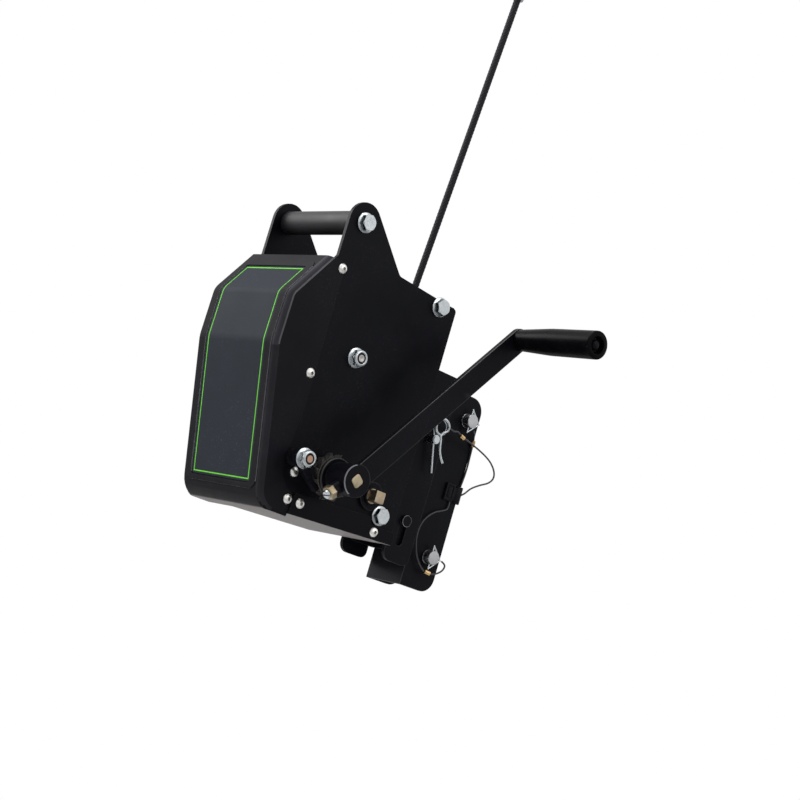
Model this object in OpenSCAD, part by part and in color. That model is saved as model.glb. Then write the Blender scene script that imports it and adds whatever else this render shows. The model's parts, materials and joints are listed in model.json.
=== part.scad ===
// Rescue winch with a load brake, its leg bracket, keeper pins, rope and snap hook.
// X runs across the winch towards its crank, Y runs from the winch back through the leg, Z is up.
// The origin lies on the front face of the leg, level with the lower leg pin.

/* [Housing] */
// Clear width between the side plates
inner_w = 125; // [125:1:135]
// Thickness of each side plate
plate_t = 4; // [3:0.5:5]
// Distance from the leg to the rear edge of the side plates
rear_gap = 68; // [66:0.5:69]
// Height of the rear top corner of the side plates
plate_top = 260; // [259:0.5:262]
// Radius of the carrying ear
ear_r = 21.4; // [18:0.2:24]
// Outer diameter of the carry handle
handle_d = 25.4; // [22:0.2:30]
// Wall of the carry handle
handle_wall = 2.5; // [1.5:0.5:4]
// Distance of the carry handle from the leg
handle_y = 222.8; // [219:0.5:225]
// Height of the carry handle
handle_z = 300.7; // [292:0.5:312]
// Wall of the front cover
cover_t = 2.5; // [2:0.25:3]
// Side flange of the front cover
cover_flange = 2; // [1.5:0.25:2.5]
// Radius of the long edges of the front cover
cover_edge_r = 6; // [6:0.25:7]
// Height of the top rim of the front cover
cover_top = 252; // [251:0.5:255]
// Half width of the label panel
label_w = 52; // [40:0.5:54]
// Thickness of the label panel
label_t = 0.8; // [0.5:0.1:1.5]
// Depth of the pocket for the label panel
pocket = 3.2; // [2:0.1:3.4]
// Floor of the bottom pan
pan_t = 2; // [1.5:0.25:2.25]
// Upturned sides of the bottom pan
pan_side = 4.3; // [3:0.1:5]
// Thickness of the top guard
guard_t = 1.5; // [1:0.25:2]

/* [Fasteners] */
// Thread of the flanged bolts and nuts
bolt_d = 10; // [8:1:10]
// Flange diameter of the bolts and nuts
flange_d = 21.8; // [20:0.2:24]
// Width across flats of the bolts and nuts
hex_w = 16; // [15:0.5:17]
// Head diameter of the button screws
button_d = 11; // [9:0.5:12]
// Thread of the button screws
screw_d = 6; // [4:0.5:6]

/* [Drum and gears] */
// Distance of the drum axle from the leg
drum_y = 184; // [182:0.5:186]
// Height of the drum axle
drum_z = 165.2; // [164:0.2:166]
// Radius of the drum barrel
barrel_r = 32; // [30:0.5:36]
// Radius of the drum flanges
drum_flange_r = 80; // [74:0.5:82]
// Diameter of the drum axle
axle_d = 20; // [16:0.5:22]
// Diameter of the rope
rope_d = 8; // [7.5:0.1:8.2]
// Radius of the outer layer of rope, to its middle
layer_r = 62; // [60:0.5:66]
// Step of the rope from turn to turn
rope_step = 8.9; // [8.8:0.05:9.2]
// Gear module
gear_m = 2.5; // [2.45:0.01:2.5]
// Face width of the gears
gear_w = 10; // [8:0.5:10]
// Diameter of the two drive shafts
shaft_d = 18; // [16:0.5:18]
// Square on the ends of the drive shafts
square_w = 12.7; // [11:0.1:12.7]
// Diameter of the round bosses on the shaft bushes
bush_d = 30.4; // [28:0.2:30.6]

/* [Brake and crank] */
// Radius of the brake discs
disc_r = 21; // [18:0.5:22]
// Tip radius of the ratchet wheel
ratchet_r = 25; // [24.5:0.1:25.4]
// Thickness of the ratchet wheel and its pawl
ratchet_t = 8; // [6:0.5:9]
// Thickness of each friction disc
lining_t = 2; // [1.5:0.25:2.5]
// Distance of the pawl stud from the leg
pawl_y = 228.5; // [228:0.1:229]
// Height of the pawl stud
pawl_z = 43.7; // [43.4:0.1:44]
// Diameter of the crank hub
hub_d = 34; // [30:0.5:36]
// Length of the crank hub
hub_l = 33; // [30:0.5:36]
// Direction of the crank arm
crank_angle = 51.7; // [0:0.1:359]
// Direction of the spring plunger in the hub
plunger_angle = 223.5; // [218:0.5:240]
// Distance from the crank axis to the grip axis
crank_l = 266; // [200:1:300]
// Width of the crank arm
arm_w = 25; // [20:0.5:30]
// Thickness of the crank arm
arm_t = 6; // [5:0.5:8]
// Length of the grip
grip_l = 114; // [95:1:130]
// Largest diameter of the grip
grip_d = 28.5; // [26:0.5:34]

/* [Leg bracket] */
// Side of the square leg that the bracket clasps
leg_w = 50; // [48:0.5:51]
// Wall of the leg saddle
saddle_t = 3.5; // [3:0.25:4]
// Wall of the tongue and of the winch adapter
tongue_t = 4; // [3:0.25:4.5]
// Distance between the two leg pins
pin_pitch = 160; // [150:1:170]
// Distance of the leg pins behind the front face of the leg
pin_y = 25; // [22:0.5:27]
// Diameter of the leg pins
leg_pin_d = 12; // [10:0.5:13]
// Diameter of the lock pin and of the hanging stud
lock_d = 10; // [8:0.5:10.4]
// Height of the lock pin
lock_z = 122.5; // [118:0.5:126]
// Distance of the lock pin and the stud in front of the leg
lock_y = 30; // [29:0.5:31]
// Width of the hanging slots
slot_w = 10.6; // [10.5:0.1:12]
// Height of the top of the hanging slots
slot_top = 33; // [32:0.5:36]
// Wire of the spring clip
clip_d = 3.2; // [2.5:0.1:3.3]
// Wire of the lanyards
wire_d = 2; // [1.5:0.1:2.1]

/* [Rope and hook] */
// Height of the end of the free rope
rope_top = 645; // [500:5:900]
// Diameter of the guide roller
roller_d = 22; // [20:0.5:22]
// Radius of the middle line of the snap hook
hook_r = 25; // [24:0.5:30]

/* [Hidden] */
$fn = 48;
fit = 0.3;
run = 0.05;
hx = inner_w / 2;
px = hx + plate_t;
cx = px + cover_flange;
bolt_r = bolt_d / 2;
// Axes in the side view, as distance behind the leg face and height
drum_at = [-drum_y, drum_z];
handle_at = [-handle_y, handle_z];
tie_at = [-92.6, 254.5];
low_at = [-92.3, 18.8];
stop_at = [-218.5, 29.9];
pawl_at = [-pawl_y, pawl_z];
// Tooth counts: drum gear, pinion, gear on the drive shaft, gear on the second shaft
z_drum = 74;
z_pinion = 29;
z_drive = 33;
z_second = 24;
shaft_step = -1;
slack = 0.3;
drive_at = drum_at - [0, gear_m * (z_drum + z_pinion) / 2];
second_at = drive_at + gear_m * (z_drive + z_second) / 2 * [cos(shaft_step), sin(shaft_step)];
// Steps along the drive shaft, outside the near plate
boss_x = px + 3.5;
carrier_x = boss_x + 2;
lining_x = carrier_x + 5;
ratchet_x = lining_x + lining_t + 0.2;
front_lining_x = ratchet_x + ratchet_t + 0.2;
pressure_x = front_lining_x + lining_t;
hub_x = pressure_x + 3.8 + fit;
hub_end = hub_x + hub_l;
arm_x = hub_end - 1 - arm_t;
grip_x = arm_x + arm_t + fit;
sleeve_r = 12.5;
crank_dir = [cos(crank_angle), sin(crank_angle)];
grip_at = drive_at + crank_l * crank_dir;
plunger_x = hub_x + 20.2;
ball_r = 3;
// The pawl meets the wheel square to the radius of its nose
pawl_d = pawl_at - drive_at;
pawl_l = sqrt(pow(norm(pawl_d), 2) - pow(ratchet_r - 3, 2));
nose_a = atan2(pawl_d[1], pawl_d[0]) + acos((ratchet_r - 3) / norm(pawl_d));
// Side outline of the front cover at its flat side faces, each corner with its radius
cover_line = [[-100, -13, 0], [-100, 262, 0], [-241.9, 262, 0], [-284.5, 199.5, 12],
    [-285, 148, 30], [-247.4, -13, 22]];
cover_low = -16;
// Rear edge of the side flange of the cover, with the bay round the pawl stud
flange_line = [[-330, cover_low, 0], [-214, cover_low, 0], [-214, 8, 0], [-222.3, 10.8, 4], [-234.2, 24, 16],
    [-236.6, 42, 20], [-230.8, 93.2, 60], [-231.9, 162.7, 80], [-233, cover_top, 0],
    [-330, cover_top, 0]];
// Bottom edge of the pan in the side view
pan_front = [-213.7, -12.9];
pan_rear = [-rear_gap, -7];
function pan_z(y) = pan_front[1] + (pan_rear[1] - pan_front[1]) * (y - pan_front[0])
    / (pan_rear[0] - pan_front[0]);
// Leg bracket
saddle_in = leg_w / 2 + 0.5;
saddle_x = saddle_in + saddle_t;
tongue_x = saddle_x + 0.7 + tongue_t;
channel_in = tongue_x + fit;
channel_x = channel_in + tongue_t;
web_y = -saddle_t;
hang_z = slot_top - slot_w / 2 - (slot_w - lock_d) / 2;
ret_x = hx - fit;
back_y = -rear_gap;
clip_x = channel_x + 8;
ring_x = saddle_x + 6.5;
ring_half = 13;
anchor_z = [67, 87];
// Rope: from the drum up behind the guide roller and out of the housing
rope_x = -4;
rope_r = rope_d / 2;
roller_r = roller_d / 2;
wrap_r = roller_r + rope_r + fit;
lead_d = tie_at - drum_at;
lead_a = atan2(lead_d[1], lead_d[0]) - acos((layer_r - wrap_r) / norm(lead_d));
out_a = -4.1;
lead_end = 262;
function at(c, r, a) = c + r * [cos(a), sin(a)];
function rope_y(z) = let(p = at(tie_at, wrap_r, out_a)) p[0] + (z - p[1]) * tan(-out_a);
// Wound turns of the outer layer, rings in each turn
turns = (rope_x + 54.8 - rope_r) / rope_step;
rings = 24;
steps = ceil(turns * rings);
helix = [for (i = [0:steps]) let(k = 1 - i / steps, p = at(drum_at, layer_r, lead_a - 360 * turns * k))
    [rope_x - rope_step * turns * k, p[0], p[1]]];
wind_in = helix[0] - rope_d * [0, -sin(lead_a - 360 * turns), cos(lead_a - 360 * turns)];
wind_out = helix[steps] + rope_d * [0, -sin(lead_a), cos(lead_a)];
wind_gap = min([for (i = [0:steps - rings]) for (j = [-1:1])
    norm(helix[i] - helix[min(i + rings + j, steps)])]) - rope_d;
echo(least_gap_between_turns = wind_gap);
lead_path = concat([wind_out],
    [for (a = [0:4]) let(p = at(tie_at, wrap_r, lead_a + (out_a - lead_a) * a / 4)) [rope_x, p[0], p[1]]],
    [[rope_x, rope_y(lead_end), lead_end]]);
run_path = [for (i = [0:16]) let(z = lead_end + (rope_top - lead_end) * i / 16) [rope_x, rope_y(z), z]];
// The lock pin and its clip hang turned by this angle; tilt() turns a point with them
clip_tilt = 16;
function tilt(p) = let(y = p[1] + lock_y, z = p[2] - lock_z) [p[0],
    y * cos(clip_tilt) - z * sin(clip_tilt) - lock_y, y * sin(clip_tilt) + z * cos(clip_tilt) + lock_z];
// Lanyards, by hand-chosen points
ring_end = tilt([clip_x + 1.5, -11.3, 136.8]);
upper_route = [ring_end, [47, -5, 139.4], [46, 2.3, 140.9], [45, 11.1, 137.7], [44, 22, 136.5],
    [43, 34.2, 134.2], [41, 47, 132], [40, 59.5, 128.7], [36, 73, 125], [33, 84, 118.5],
    [31, 88.2, 111], [29, 84.6, 104], [28, 73, 97.5], [28, 62, 90.5], [28.5, 54, 82.5],
    [28.7, 49.3, 79]];
clip_route = [[35.5, pin_y + 8.8, 151.7], [34.8, 37.1, 148.2], [33, 40.2, 143.5], [32, 42.1, 138],
    [31, 43.5, 131], [30.4, 44.5, 122], [30.4, 45, 112], [30.5, 44.5, 101], [30.6, 43, anchor_z[1] + fit]];
lower_route = [[30.7, 33, anchor_z[0] - fit], [30.9, 32.4, 58.4], [31.6, 25, 54], [32, 15, 49.5], [32, 6.2, 42],
    [32, 0, 32.2], [32, -1.6, 20], [32.4, 0.6, 8], [33.5, 6, -4], [35, 13.4, -12.9], [36.1, 20.1, -16.9],
    [37, 24, -17.4], [37.9, 27.9, -17.9], [39.5, 35, -15.8], [40, 42.5, -10], [38.5, 45.5, -3.5],
    [36, 41.3, 0]];
// Spring clip: a straight leg through the lock pin, one and a half turns, a waved leg behind the pin
clip_c = [-22, 136.5];
clip_turn = 8.7;
clip_path = [for (p = concat([[clip_x, -lock_y, 85], [clip_x, -lock_y, 108], [clip_x, -lock_y, 129.5]],
    [for (i = [0:18]) let(p = at(clip_c, clip_turn, 180 - 30 * i)) [clip_x + 0.32 * i, p[0], p[1]]],
    [[clip_x + 5, -14.5, 132.2], [clip_x + 4, -19.8, 129.6], [clip_x + 3.6, -22.9, 126.4],
    [clip_x + 3.6, -22.7, 122.5], [clip_x + 3.6, -22.9, 117], [clip_x + 3.6, -22.9, 110],
    [clip_x + 3.6, -21, 103], [clip_x + 3.6, -17.6, 96.5]])) tilt(p)];
// Torsion spring round the pawl stud, with one leg down to its stop screw
coil_r = 8.2;
spring_d = 1.4;
spring_path = concat([for (i = [0:32]) let(p = at(pawl_at, coil_r, 150 + 45 * i))
    [cx + 1.1 + (ratchet_x - cx - 2.4) * i / 32, p[0], p[1]]]);

function unit(v) = v / norm(v);
function fillet(a, b, c, r, n) = let(u = unit(a - b), v = unit(c - b), h = acos(u * v) / 2,
    t = r / tan(h), o = b + unit(u + v) * r / sin(h), p = b + u * t, q = b + v * t,
    a0 = atan2(p[1] - o[1], p[0] - o[0]), a1 = atan2(q[1] - o[1], q[0] - o[0]),
    d = ((a1 - a0 + 540) % 360) - 180) [for (i = [0:n]) at(o, r, a0 + d * i / n)];
function flat(p) = [p[0], p[1]];
function rounded(p, n = 6) = [for (i = [0:len(p) - 1]) let(b = p[i])
    each (len(b) > 2 && b[2] > 0 ? fillet(flat(p[(i + len(p) - 1) % len(p)]), flat(b),
        flat(p[(i + 1) % len(p)]), b[2], n) : [flat(b)])];
// Moves each side of an anticlockwise outline inwards by d, and its radii with it
function inset(p, d) = [for (i = [0:len(p) - 1])
    let(a = flat(p[(i + len(p) - 1) % len(p)]), b = flat(p[i]), c = flat(p[(i + 1) % len(p)]),
        u = unit(b - a), v = unit(c - b), m = [-u[1], u[0]], n = [-v[1], v[0]],
        q = b + (m + n) * d / (1 + m * n), s = u[0] * v[1] - u[1] * v[0])
    [q[0], q[1], p[i][2] == 0 ? 0 : p[i][2] - d * sign(s)]];
function meet(p, q, y) = [y, p[1] + (q[1] - p[1]) * (y - p[0]) / (q[0] - p[0])];
function inv(a) = tan(a) * 180 / PI - a;
// Half angle of an involute tooth at radius r
function half_a(z, r) = let(rp = gear_m * z / 2, rb = rp * cos(20))
    90 / z + inv(20) - inv(acos(rb / max(r, rb))) - slack / 4 / rp * 180 / PI;
function gear_line(z, phase) = let(rp = gear_m * z / 2, rf = rp - 1.25 * gear_m, ra = rp + gear_m)
    [for (k = [0:z - 1]) let(c = phase + 360 * k / z)
        for (s = [[rf, -1], [rp, -1], [ra, -1], [ra, 1], [rp, 1], [rf, 1]])
            at([0, 0], s[0], c + s[1] * half_a(z, s[0]))];
// Ratchet teeth with a steep face at the start of each tooth
function ratchet_line(phase) = [for (k = [0:11]) let(c = phase + 30 * k)
    each [at([0, 0], ratchet_r - 6, c), at([0, 0], ratchet_r, c), at([0, 0], ratchet_r, c + 2)]];
// Middle-line points between hand-chosen points, k to a span
function smooth(p, k) = [for (i = [0:len(p) - 2]) let(a = p[max(i - 1, 0)], b = p[i], c = p[i + 1],
    d = p[min(i + 2, len(p) - 1)]) for (j = [0:k - 1]) let(t = j / k)
    b + t * (c - a) / 2 + t * t * (2 * a - 5 * b + 4 * c - d) / 2 + t * t * t * (3 * b - a - 3 * c + d) / 2,
    p[len(p) - 1]];
function carry(t, v) = unit(v - t * (t * v));
function sweep_faces(n, m) = concat([[for (j = [0:m - 1]) j]],
    [for (i = [0:n - 2]) for (j = [0:m - 1]) let(a = i * m + j, b = i * m + (j + 1) % m)
        each [[a, a + m, b + m], [a, b + m, b]]],
    [[for (j = [m - 1:-1:0]) (n - 1) * m + j]]);

module tube(p, r, m) {
    n = len(p);
    t = [for (i = [0:n - 1]) unit(p[min(i + 1, n - 1)] - p[max(i - 1, 0)])];
    f = [for (i = 0, u = carry(t[0], [1, 0.01, 0.02]); i < n; i = i + 1,
        u = i < n ? carry(t[i], u) : u) u];
    polyhedron([for (i = [0:n - 1]) for (k = [0:m - 1]) let(a = 360 * k / m)
        p[i] + r * (cos(a) * f[i] + sin(a) * cross(t[i], f[i]))], sweep_faces(n, m));
}
// Cross-sections of a side outline set in by d at each x, joined into one solid
module loft(line, stations) {
    r = [for (s = stations) [for (q = rounded(inset(line, s[1]), 7)) [s[0], q[0], q[1]]]];
    polyhedron([for (q = r) each q], sweep_faces(len(r), len(r[0])));
}
module side(x0, len) translate([x0, 0, 0]) rotate([90, 0, 90]) linear_extrude(len) children();
module rod(r, x0, x1, c, n = 48) translate([x0, c[0], c[1]]) rotate([0, 90, 0])
    cylinder(r = r, h = x1 - x0, $fn = n);
module turned(x, c) translate([x, c[0], c[1]]) rotate([0, 90, 0]) rotate_extrude($fn = 72) children();
module both() {
    children();
    mirror([1, 0, 0]) children();
}
module block(x, y, z) translate([x[0], y[0], z[0]]) cube([x[1] - x[0], y[1] - y[0], z[1] - z[0]]);
module square_end(extra = 0) intersection() {
    rotate(crank_angle) square(square_w + 2 * extra, center = true);
    circle(d = square_w * 1.26 + 2 * extra);
}
module nut(x, c) translate([x, c[0], c[1]]) rotate([0, 90, 0]) difference() {
    union() {
        cylinder(d = flange_d, h = 1.5);
        translate([0, 0, 1.5]) cylinder(d1 = flange_d, d2 = hex_w, h = 1.8);
        cylinder(d = hex_w / cos(30), h = 8.4, $fn = 6);
        cylinder(d = hex_w - 2.6, h = 10.4);
    }
    translate([0, 0, -1]) cylinder(r = bolt_r + run, h = 13);
}
module bolt_head(x, c) translate([x, c[0], c[1]]) rotate([0, 90, 0]) difference() {
    union() {
        cylinder(d = flange_d, h = 1.5);
        translate([0, 0, 1.5]) cylinder(d1 = flange_d, d2 = hex_w, h = 1.8);
        cylinder(d = hex_w / cos(30), h = 8, $fn = 6);
    }
    translate([0, 0, 7.4]) cylinder(d = hex_w - 4, h = 1);
}
module button(x, c, grip) translate([x, c[0], c[1]]) rotate([0, 90, 0]) {
    difference() {
        rotate_extrude($fn = 36) polygon(concat([[0, 0]],
            [for (a = [0:15:90]) [button_d / 2 * cos(a), 3.2 * sin(a)]]));
        translate([0, 0, 1.4]) cylinder(d = 4.4, h = 3, $fn = 6);
    }
    translate([0, 0, -grip]) cylinder(d = screw_d, h = grip + 0.5, $fn = 24);
}

cover_screws = [[-235.7, 245], [-236.9, 130.8], [-218.6, 1.4]];
pan_screws = [[-203.1, 1.0], [-96.9, 0.0]];
plate_line = let(ip = inset(cover_line, 1), k = handle_at[0] + handle_at[1] + ear_r * sqrt(2),
    foot = plate_top + 5.8, rise = pan_t + fit) [[back_y, pan_z(back_y) + rise, 2],
    [back_y, plate_top, 4], [k - foot, foot, 8],
    [k - handle_at[1] - ear_r, handle_at[1] + ear_r, ear_r],
    [handle_at[0] - ear_r, handle_at[1] + ear_r, ear_r],
    [each meet(ip[2], ip[3], handle_at[0] - ear_r), 3], ip[3], ip[4],
    [ip[5][0], pan_z(ip[5][0]) + rise, 20]];

module side_plate() difference() {
    side(hx, plate_t) difference() {
        polygon(rounded(plate_line, 7));
        for (c = [handle_at, tie_at, low_at, drum_at, pawl_at]) translate(c) circle(r = bolt_r + 0.2);
        for (c = [drive_at, second_at]) translate(c) circle(r = shaft_d / 2 + 3 + run);
        for (c = concat(cover_screws, pan_screws, [stop_at])) translate(c) circle(d = screw_d + 0.2);
    }
}
module near_plate() color([0.07, 0.07, 0.07]) side_plate();
module far_plate() color([0.07, 0.07, 0.07]) mirror([1, 0, 0]) side_plate();

// Rings of the moulded cover from side to side: x and how far the outline is set in there
function cover_rings(r, w, flat_w) = let(q = [for (a = [90:-18:0]) [flat_w + (w - flat_w) * cos(a), r * sin(a)]])
    concat([for (i = [len(q) - 1:-1:0]) [-q[i][0], -q[i][1]]], [for (s = q) [s[0], -s[1]]]);
module front_cover() color([0.08, 0.08, 0.08]) {
    difference() {
        intersection() {
            union() {
                loft(cover_line, cover_rings(cover_edge_r, cx, cx - cover_edge_r));
                label_rim();
            }
            side(-cx - 1, 2 * cx + 2) polygon(rounded(flange_line, 8));
        }
        difference() {
            loft(cover_line, [for (s = cover_rings(cover_edge_r - cover_t, px + run, cx - cover_edge_r))
                [s[0], s[1] + (abs(s[0]) > px ? 0.5 : 0)]]);
            side(-cx - 1, 2 * cx + 2)
                polygon([for (p = [[-330, -24], [-90, -24], [-90, 0], [-330, 0]]) p + [0, cover_low + 3.4]]);
            label_block(-pocket - cover_t, -1, 2.9);
        }
        label_block(-pocket, 3, 0.4);
        both() for (c = cover_screws) rod(screw_d / 2 + 0.1, px - 1, cx + 1, c, 24);
    }
}
label_span = [5.6, 235];
module front_window(w, zs, r) translate([0, -200, 0]) rotate([90, 0, 0]) linear_extrude(120)
    polygon(rounded([[-w, zs[0], r], [w, zs[0], r], [w, zs[1], r], [-w, zs[1], r]], 5));
module label_shell(d0, d1, w) side(-w, 2 * w) difference() {
    polygon(rounded(inset(cover_line, -cover_edge_r - d1), 7));
    polygon(rounded(inset(cover_line, -cover_edge_r - d0), 7));
}
// The room of the label panel from depth d0 to d1, grown by g on every side
module label_block(d0, d1, g) intersection() {
    label_shell(d0, d1, label_w + g + 1);
    front_window(label_w + g, [label_span[0] - g, label_span[1] + g], 4 + g);
}
// Raised frame of the cover round the label panel
module label_rim() intersection() {
    label_shell(-0.6, 0.8, label_w + 10);
    front_window(label_w + 9.6, [label_span[0] - 6, label_span[1] + 8], 11);
}
module label_panel() color([0.2, 0.23, 0.27]) label_block(run - pocket, label_t - pocket, 0);
module bottom_pan() color([0.09, 0.09, 0.09]) difference() {
    union() {
        side(-px - pan_side, 2 * (px + pan_side)) polygon([pan_front, pan_rear,
            pan_rear + [0, pan_t], pan_front + [0, pan_t]]);
        both() side(px + run, pan_side - run) polygon(rounded([[pan_front[0], pan_front[1], 0],
            [pan_rear[0], pan_rear[1], 0], [pan_rear[0], 6.5, 2], [-103, 6.5, 2], [-106, 14.4, 3],
            [pan_front[0] + 1.7, 9.8, 3]], 4));
    }
    both() for (c = pan_screws) rod(screw_d / 2 + 0.1, px - 1, px + pan_side + 1, c, 24);
}
module top_guard() color([0.1, 0.1, 0.1]) side(-ret_x, 2 * ret_x) {
    line = [[-246, 251.5], [-190, plate_top + 2.5], [-108, plate_top + 2.5]];
    polygon(concat(line, [[-108, plate_top + 2.5 + guard_t], [-190.3, plate_top + 2.5 + guard_t],
        [-246.3, 251.5 + guard_t]]));
}
module winch_adapter() color([0.08, 0.08, 0.08]) difference() {
    union() {
        block([-ret_x, ret_x], [back_y - tongue_t, back_y], [5, 262]);
        both() block([ret_x - tongue_t, ret_x], [back_y - tongue_t - 30, back_y - 1], [5, 262]);
        both() side(channel_in, channel_x - channel_in) polygon(rounded([[back_y - 1, 2, 0],
            [-47, 2, 3], [-47, -20, 11], [-8, -20, 8], [-8, 198, 3], [back_y - 1, 198, 0]], 6));
    }
    rod(bolt_r + 0.2, -hx, hx, tie_at);
    rod(bolt_r + 0.2, -hx, hx, low_at);
    rod(lock_d / 2 + 0.2, -channel_x - 1, channel_x + 1, [-lock_y, lock_z]);
    side(-channel_x - 1, 2 * channel_x + 2) translate([-lock_y, 0]) {
        translate([0, slot_top - slot_w / 2]) circle(d = slot_w);
        translate([0, slot_w / 2 - 1]) circle(d = slot_w);
        translate([-slot_w / 2, slot_w / 2 - 1]) square([slot_w, slot_top + 1 - slot_w]);
    }
}
module handle_tube() color([0.1, 0.1, 0.1]) difference() {
    rod(handle_d / 2, -hx + 0.1, hx - 0.1, handle_at);
    rod(handle_d / 2 - handle_wall, -hx + 10, hx - 10, handle_at);
    rod(bolt_r + run, -hx, hx, handle_at);
}
module flange_bolts() color([0.75, 0.76, 0.78]) {
    for (c = [handle_at, tie_at]) {
        bolt_head(px, c);
        rod(bolt_r, -px - 12, px + 0.5, c, 32);
    }
    both() {
        bolt_head(px, low_at);
        rod(bolt_r, ret_x - tongue_t - 12, px + 0.5, low_at, 32);
    }
}
module flange_nuts() color([0.75, 0.76, 0.78]) {
    nut(px, drum_at);
    mirror([1, 0, 0]) for (c = [drum_at, handle_at, tie_at]) nut(px, c);
    both() translate([ret_x - tongue_t, 0, 0]) mirror([1, 0, 0]) nut(0, low_at);
    nut(ratchet_x + ratchet_t + 1.2, pawl_at);
}
module button_screws() color([0.8, 0.81, 0.83]) {
    both() {
        for (c = cover_screws) button(cx, c, cover_flange + plate_t + 4);
        for (c = pan_screws) button(px + pan_side, c, pan_side + plate_t + 4);
    }
    button(px, stop_at, plate_t + 4);
}
module tie_tube() color([0.5, 0.51, 0.52]) difference() {
    rod(roller_r - 3, -ret_x + tongue_t + run, ret_x - tongue_t - run, tie_at);
    rod(bolt_r + run, -hx, hx, tie_at, 32);
}
module drum_axle() color([0.6, 0.61, 0.62]) {
    rod(axle_d / 2, -hx + run, hx - run, drum_at);
    rod(bolt_r, -px - 12, px + 10, drum_at, 32);
}
module pawl_stud() color([0.55, 0.4, 0.3]) {
    rod(bolt_r, hx - 6, ratchet_x + ratchet_t + 11.2, pawl_at, 32);
    rod(bolt_r + 4, hx - 6, hx - run, pawl_at, 32);
    rod(bolt_r + 2, px + run, ratchet_x - fit, pawl_at, 32);
    rod(bolt_r + 4.5, ratchet_x + ratchet_t + fit, ratchet_x + ratchet_t + 1.2, pawl_at, 32);
}
module shaft_bushes() color([0.1, 0.1, 0.1]) both() for (c = [drive_at, second_at]) difference() {
    union() {
        rod(bush_d / 2, px, boss_x, c);
        rod(shaft_d / 2 + 3, hx, px + 1, c);
    }
    rod(shaft_d / 2 + run, hx - 4, boss_x + 1, c);
}
module leg_saddle() color([0.09, 0.09, 0.09]) difference() {
    union() {
        block([-saddle_x, saddle_x], [web_y, 0], [-39, pin_pitch + 28]);
        both() side(saddle_in, saddle_t) polygon(rounded([[web_y + 1, -39, 0], [45, -39, 17],
            [45, pin_pitch + 28, 17], [web_y + 1, pin_pitch + 28, 0]], 8));
    }
    for (z = [0, pin_pitch]) rod(leg_pin_d / 2 + 0.2, -saddle_x - 1, saddle_x + 1, [pin_y, z]);
}
module saddle_tongue() color([0.09, 0.09, 0.09]) difference() {
    union() {
        block([-tongue_x, tongue_x], [web_y - tongue_t, web_y], [-5, 192]);
        both() side(tongue_x - tongue_t, tongue_t) polygon(rounded([[web_y - 1, -5, 0],
            [web_y - 1, 192, 0], [-45, 192, 6], [-45, -5, 10]], 6));
    }
    rod(lock_d / 2 + 0.2, -tongue_x - 1, tongue_x + 1, [-lock_y, lock_z]);
    rod(lock_d / 2 + run, -tongue_x - 1, tongue_x + 1, [-lock_y, hang_z]);
}
module hang_stud() color([0.09, 0.09, 0.09]) {
    rod(lock_d / 2, -channel_x - 1, channel_x + 1, [-lock_y, hang_z]);
    both() rod(slot_w / 2 + 1.2, channel_x + fit, channel_x + fit + 4, [-lock_y, hang_z]);
}
module lanyard_anchor() color([0.06, 0.06, 0.06]) {
    block([saddle_x + 0.2, saddle_x + 3], [22, 49], anchor_z);
    block([saddle_in - 0.2, saddle_x + 1], [45.2, 49], [anchor_z[0] + 3, anchor_z[1] - 3]);
}
module rope_lead() color([0.08, 0.08, 0.08]) tube(lead_path, rope_r, 8);
module rope_run() color([0.08, 0.08, 0.08]) tube(run_path, rope_r, 8);
// Places its children at the top of the rope, with Z along the rope
module on_rope() translate([rope_x, rope_y(rope_top), rope_top]) rotate([out_a, 0, 0]) children();
module rope_socket() color([0.7, 0.71, 0.73]) on_rope() difference() {
    union() {
        cylinder(d1 = rope_d + 5, d2 = rope_d + 9, h = 6);
        translate([0, 0, 6]) cylinder(d = rope_d + 9, h = 26);
    }
    translate([0, 0, 18]) cylinder(d = 11, h = 3.6);
    translate([0, 0, 12]) cylinder(d = 6.2 + 2 * run, h = 21);
}
module lanyard_upper() color([0.05, 0.05, 0.05]) tube(smooth(upper_route, 2), wire_d / 2, 8);
module lanyard_lower() color([0.05, 0.05, 0.05]) tube(smooth(lower_route, 2), wire_d / 2, 8);
module lanyard_clip() color([0.05, 0.05, 0.05]) tube(smooth(clip_route, 2), wire_d / 2, 8);
module ferrule(p, q) let(u = unit(q - p)) translate(p) rotate([0, acos(u[2]), atan2(u[1], u[0])])
    translate([0, 0, -3.5]) difference() {
        cylinder(d = wire_d + 2.8, h = 7, $fn = 24);
        translate([0, 0, -1]) cylinder(d = wire_d + 0.9, h = 9, $fn = 24);
    }
module lanyard_ferrules() color([0.8, 0.6, 0.3]) {
    ferrule(upper_route[3], (upper_route[4] + upper_route[3] * 2 - upper_route[2]) / 2);
    ferrule(clip_route[3], (clip_route[4] + clip_route[3] * 2 - clip_route[2]) / 2);
    ferrule(lower_route[11], lower_route[12]);
}
module pawl_spring() color([0.6, 0.6, 0.6]) tube(spring_path, spring_d / 2, 6);

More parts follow.
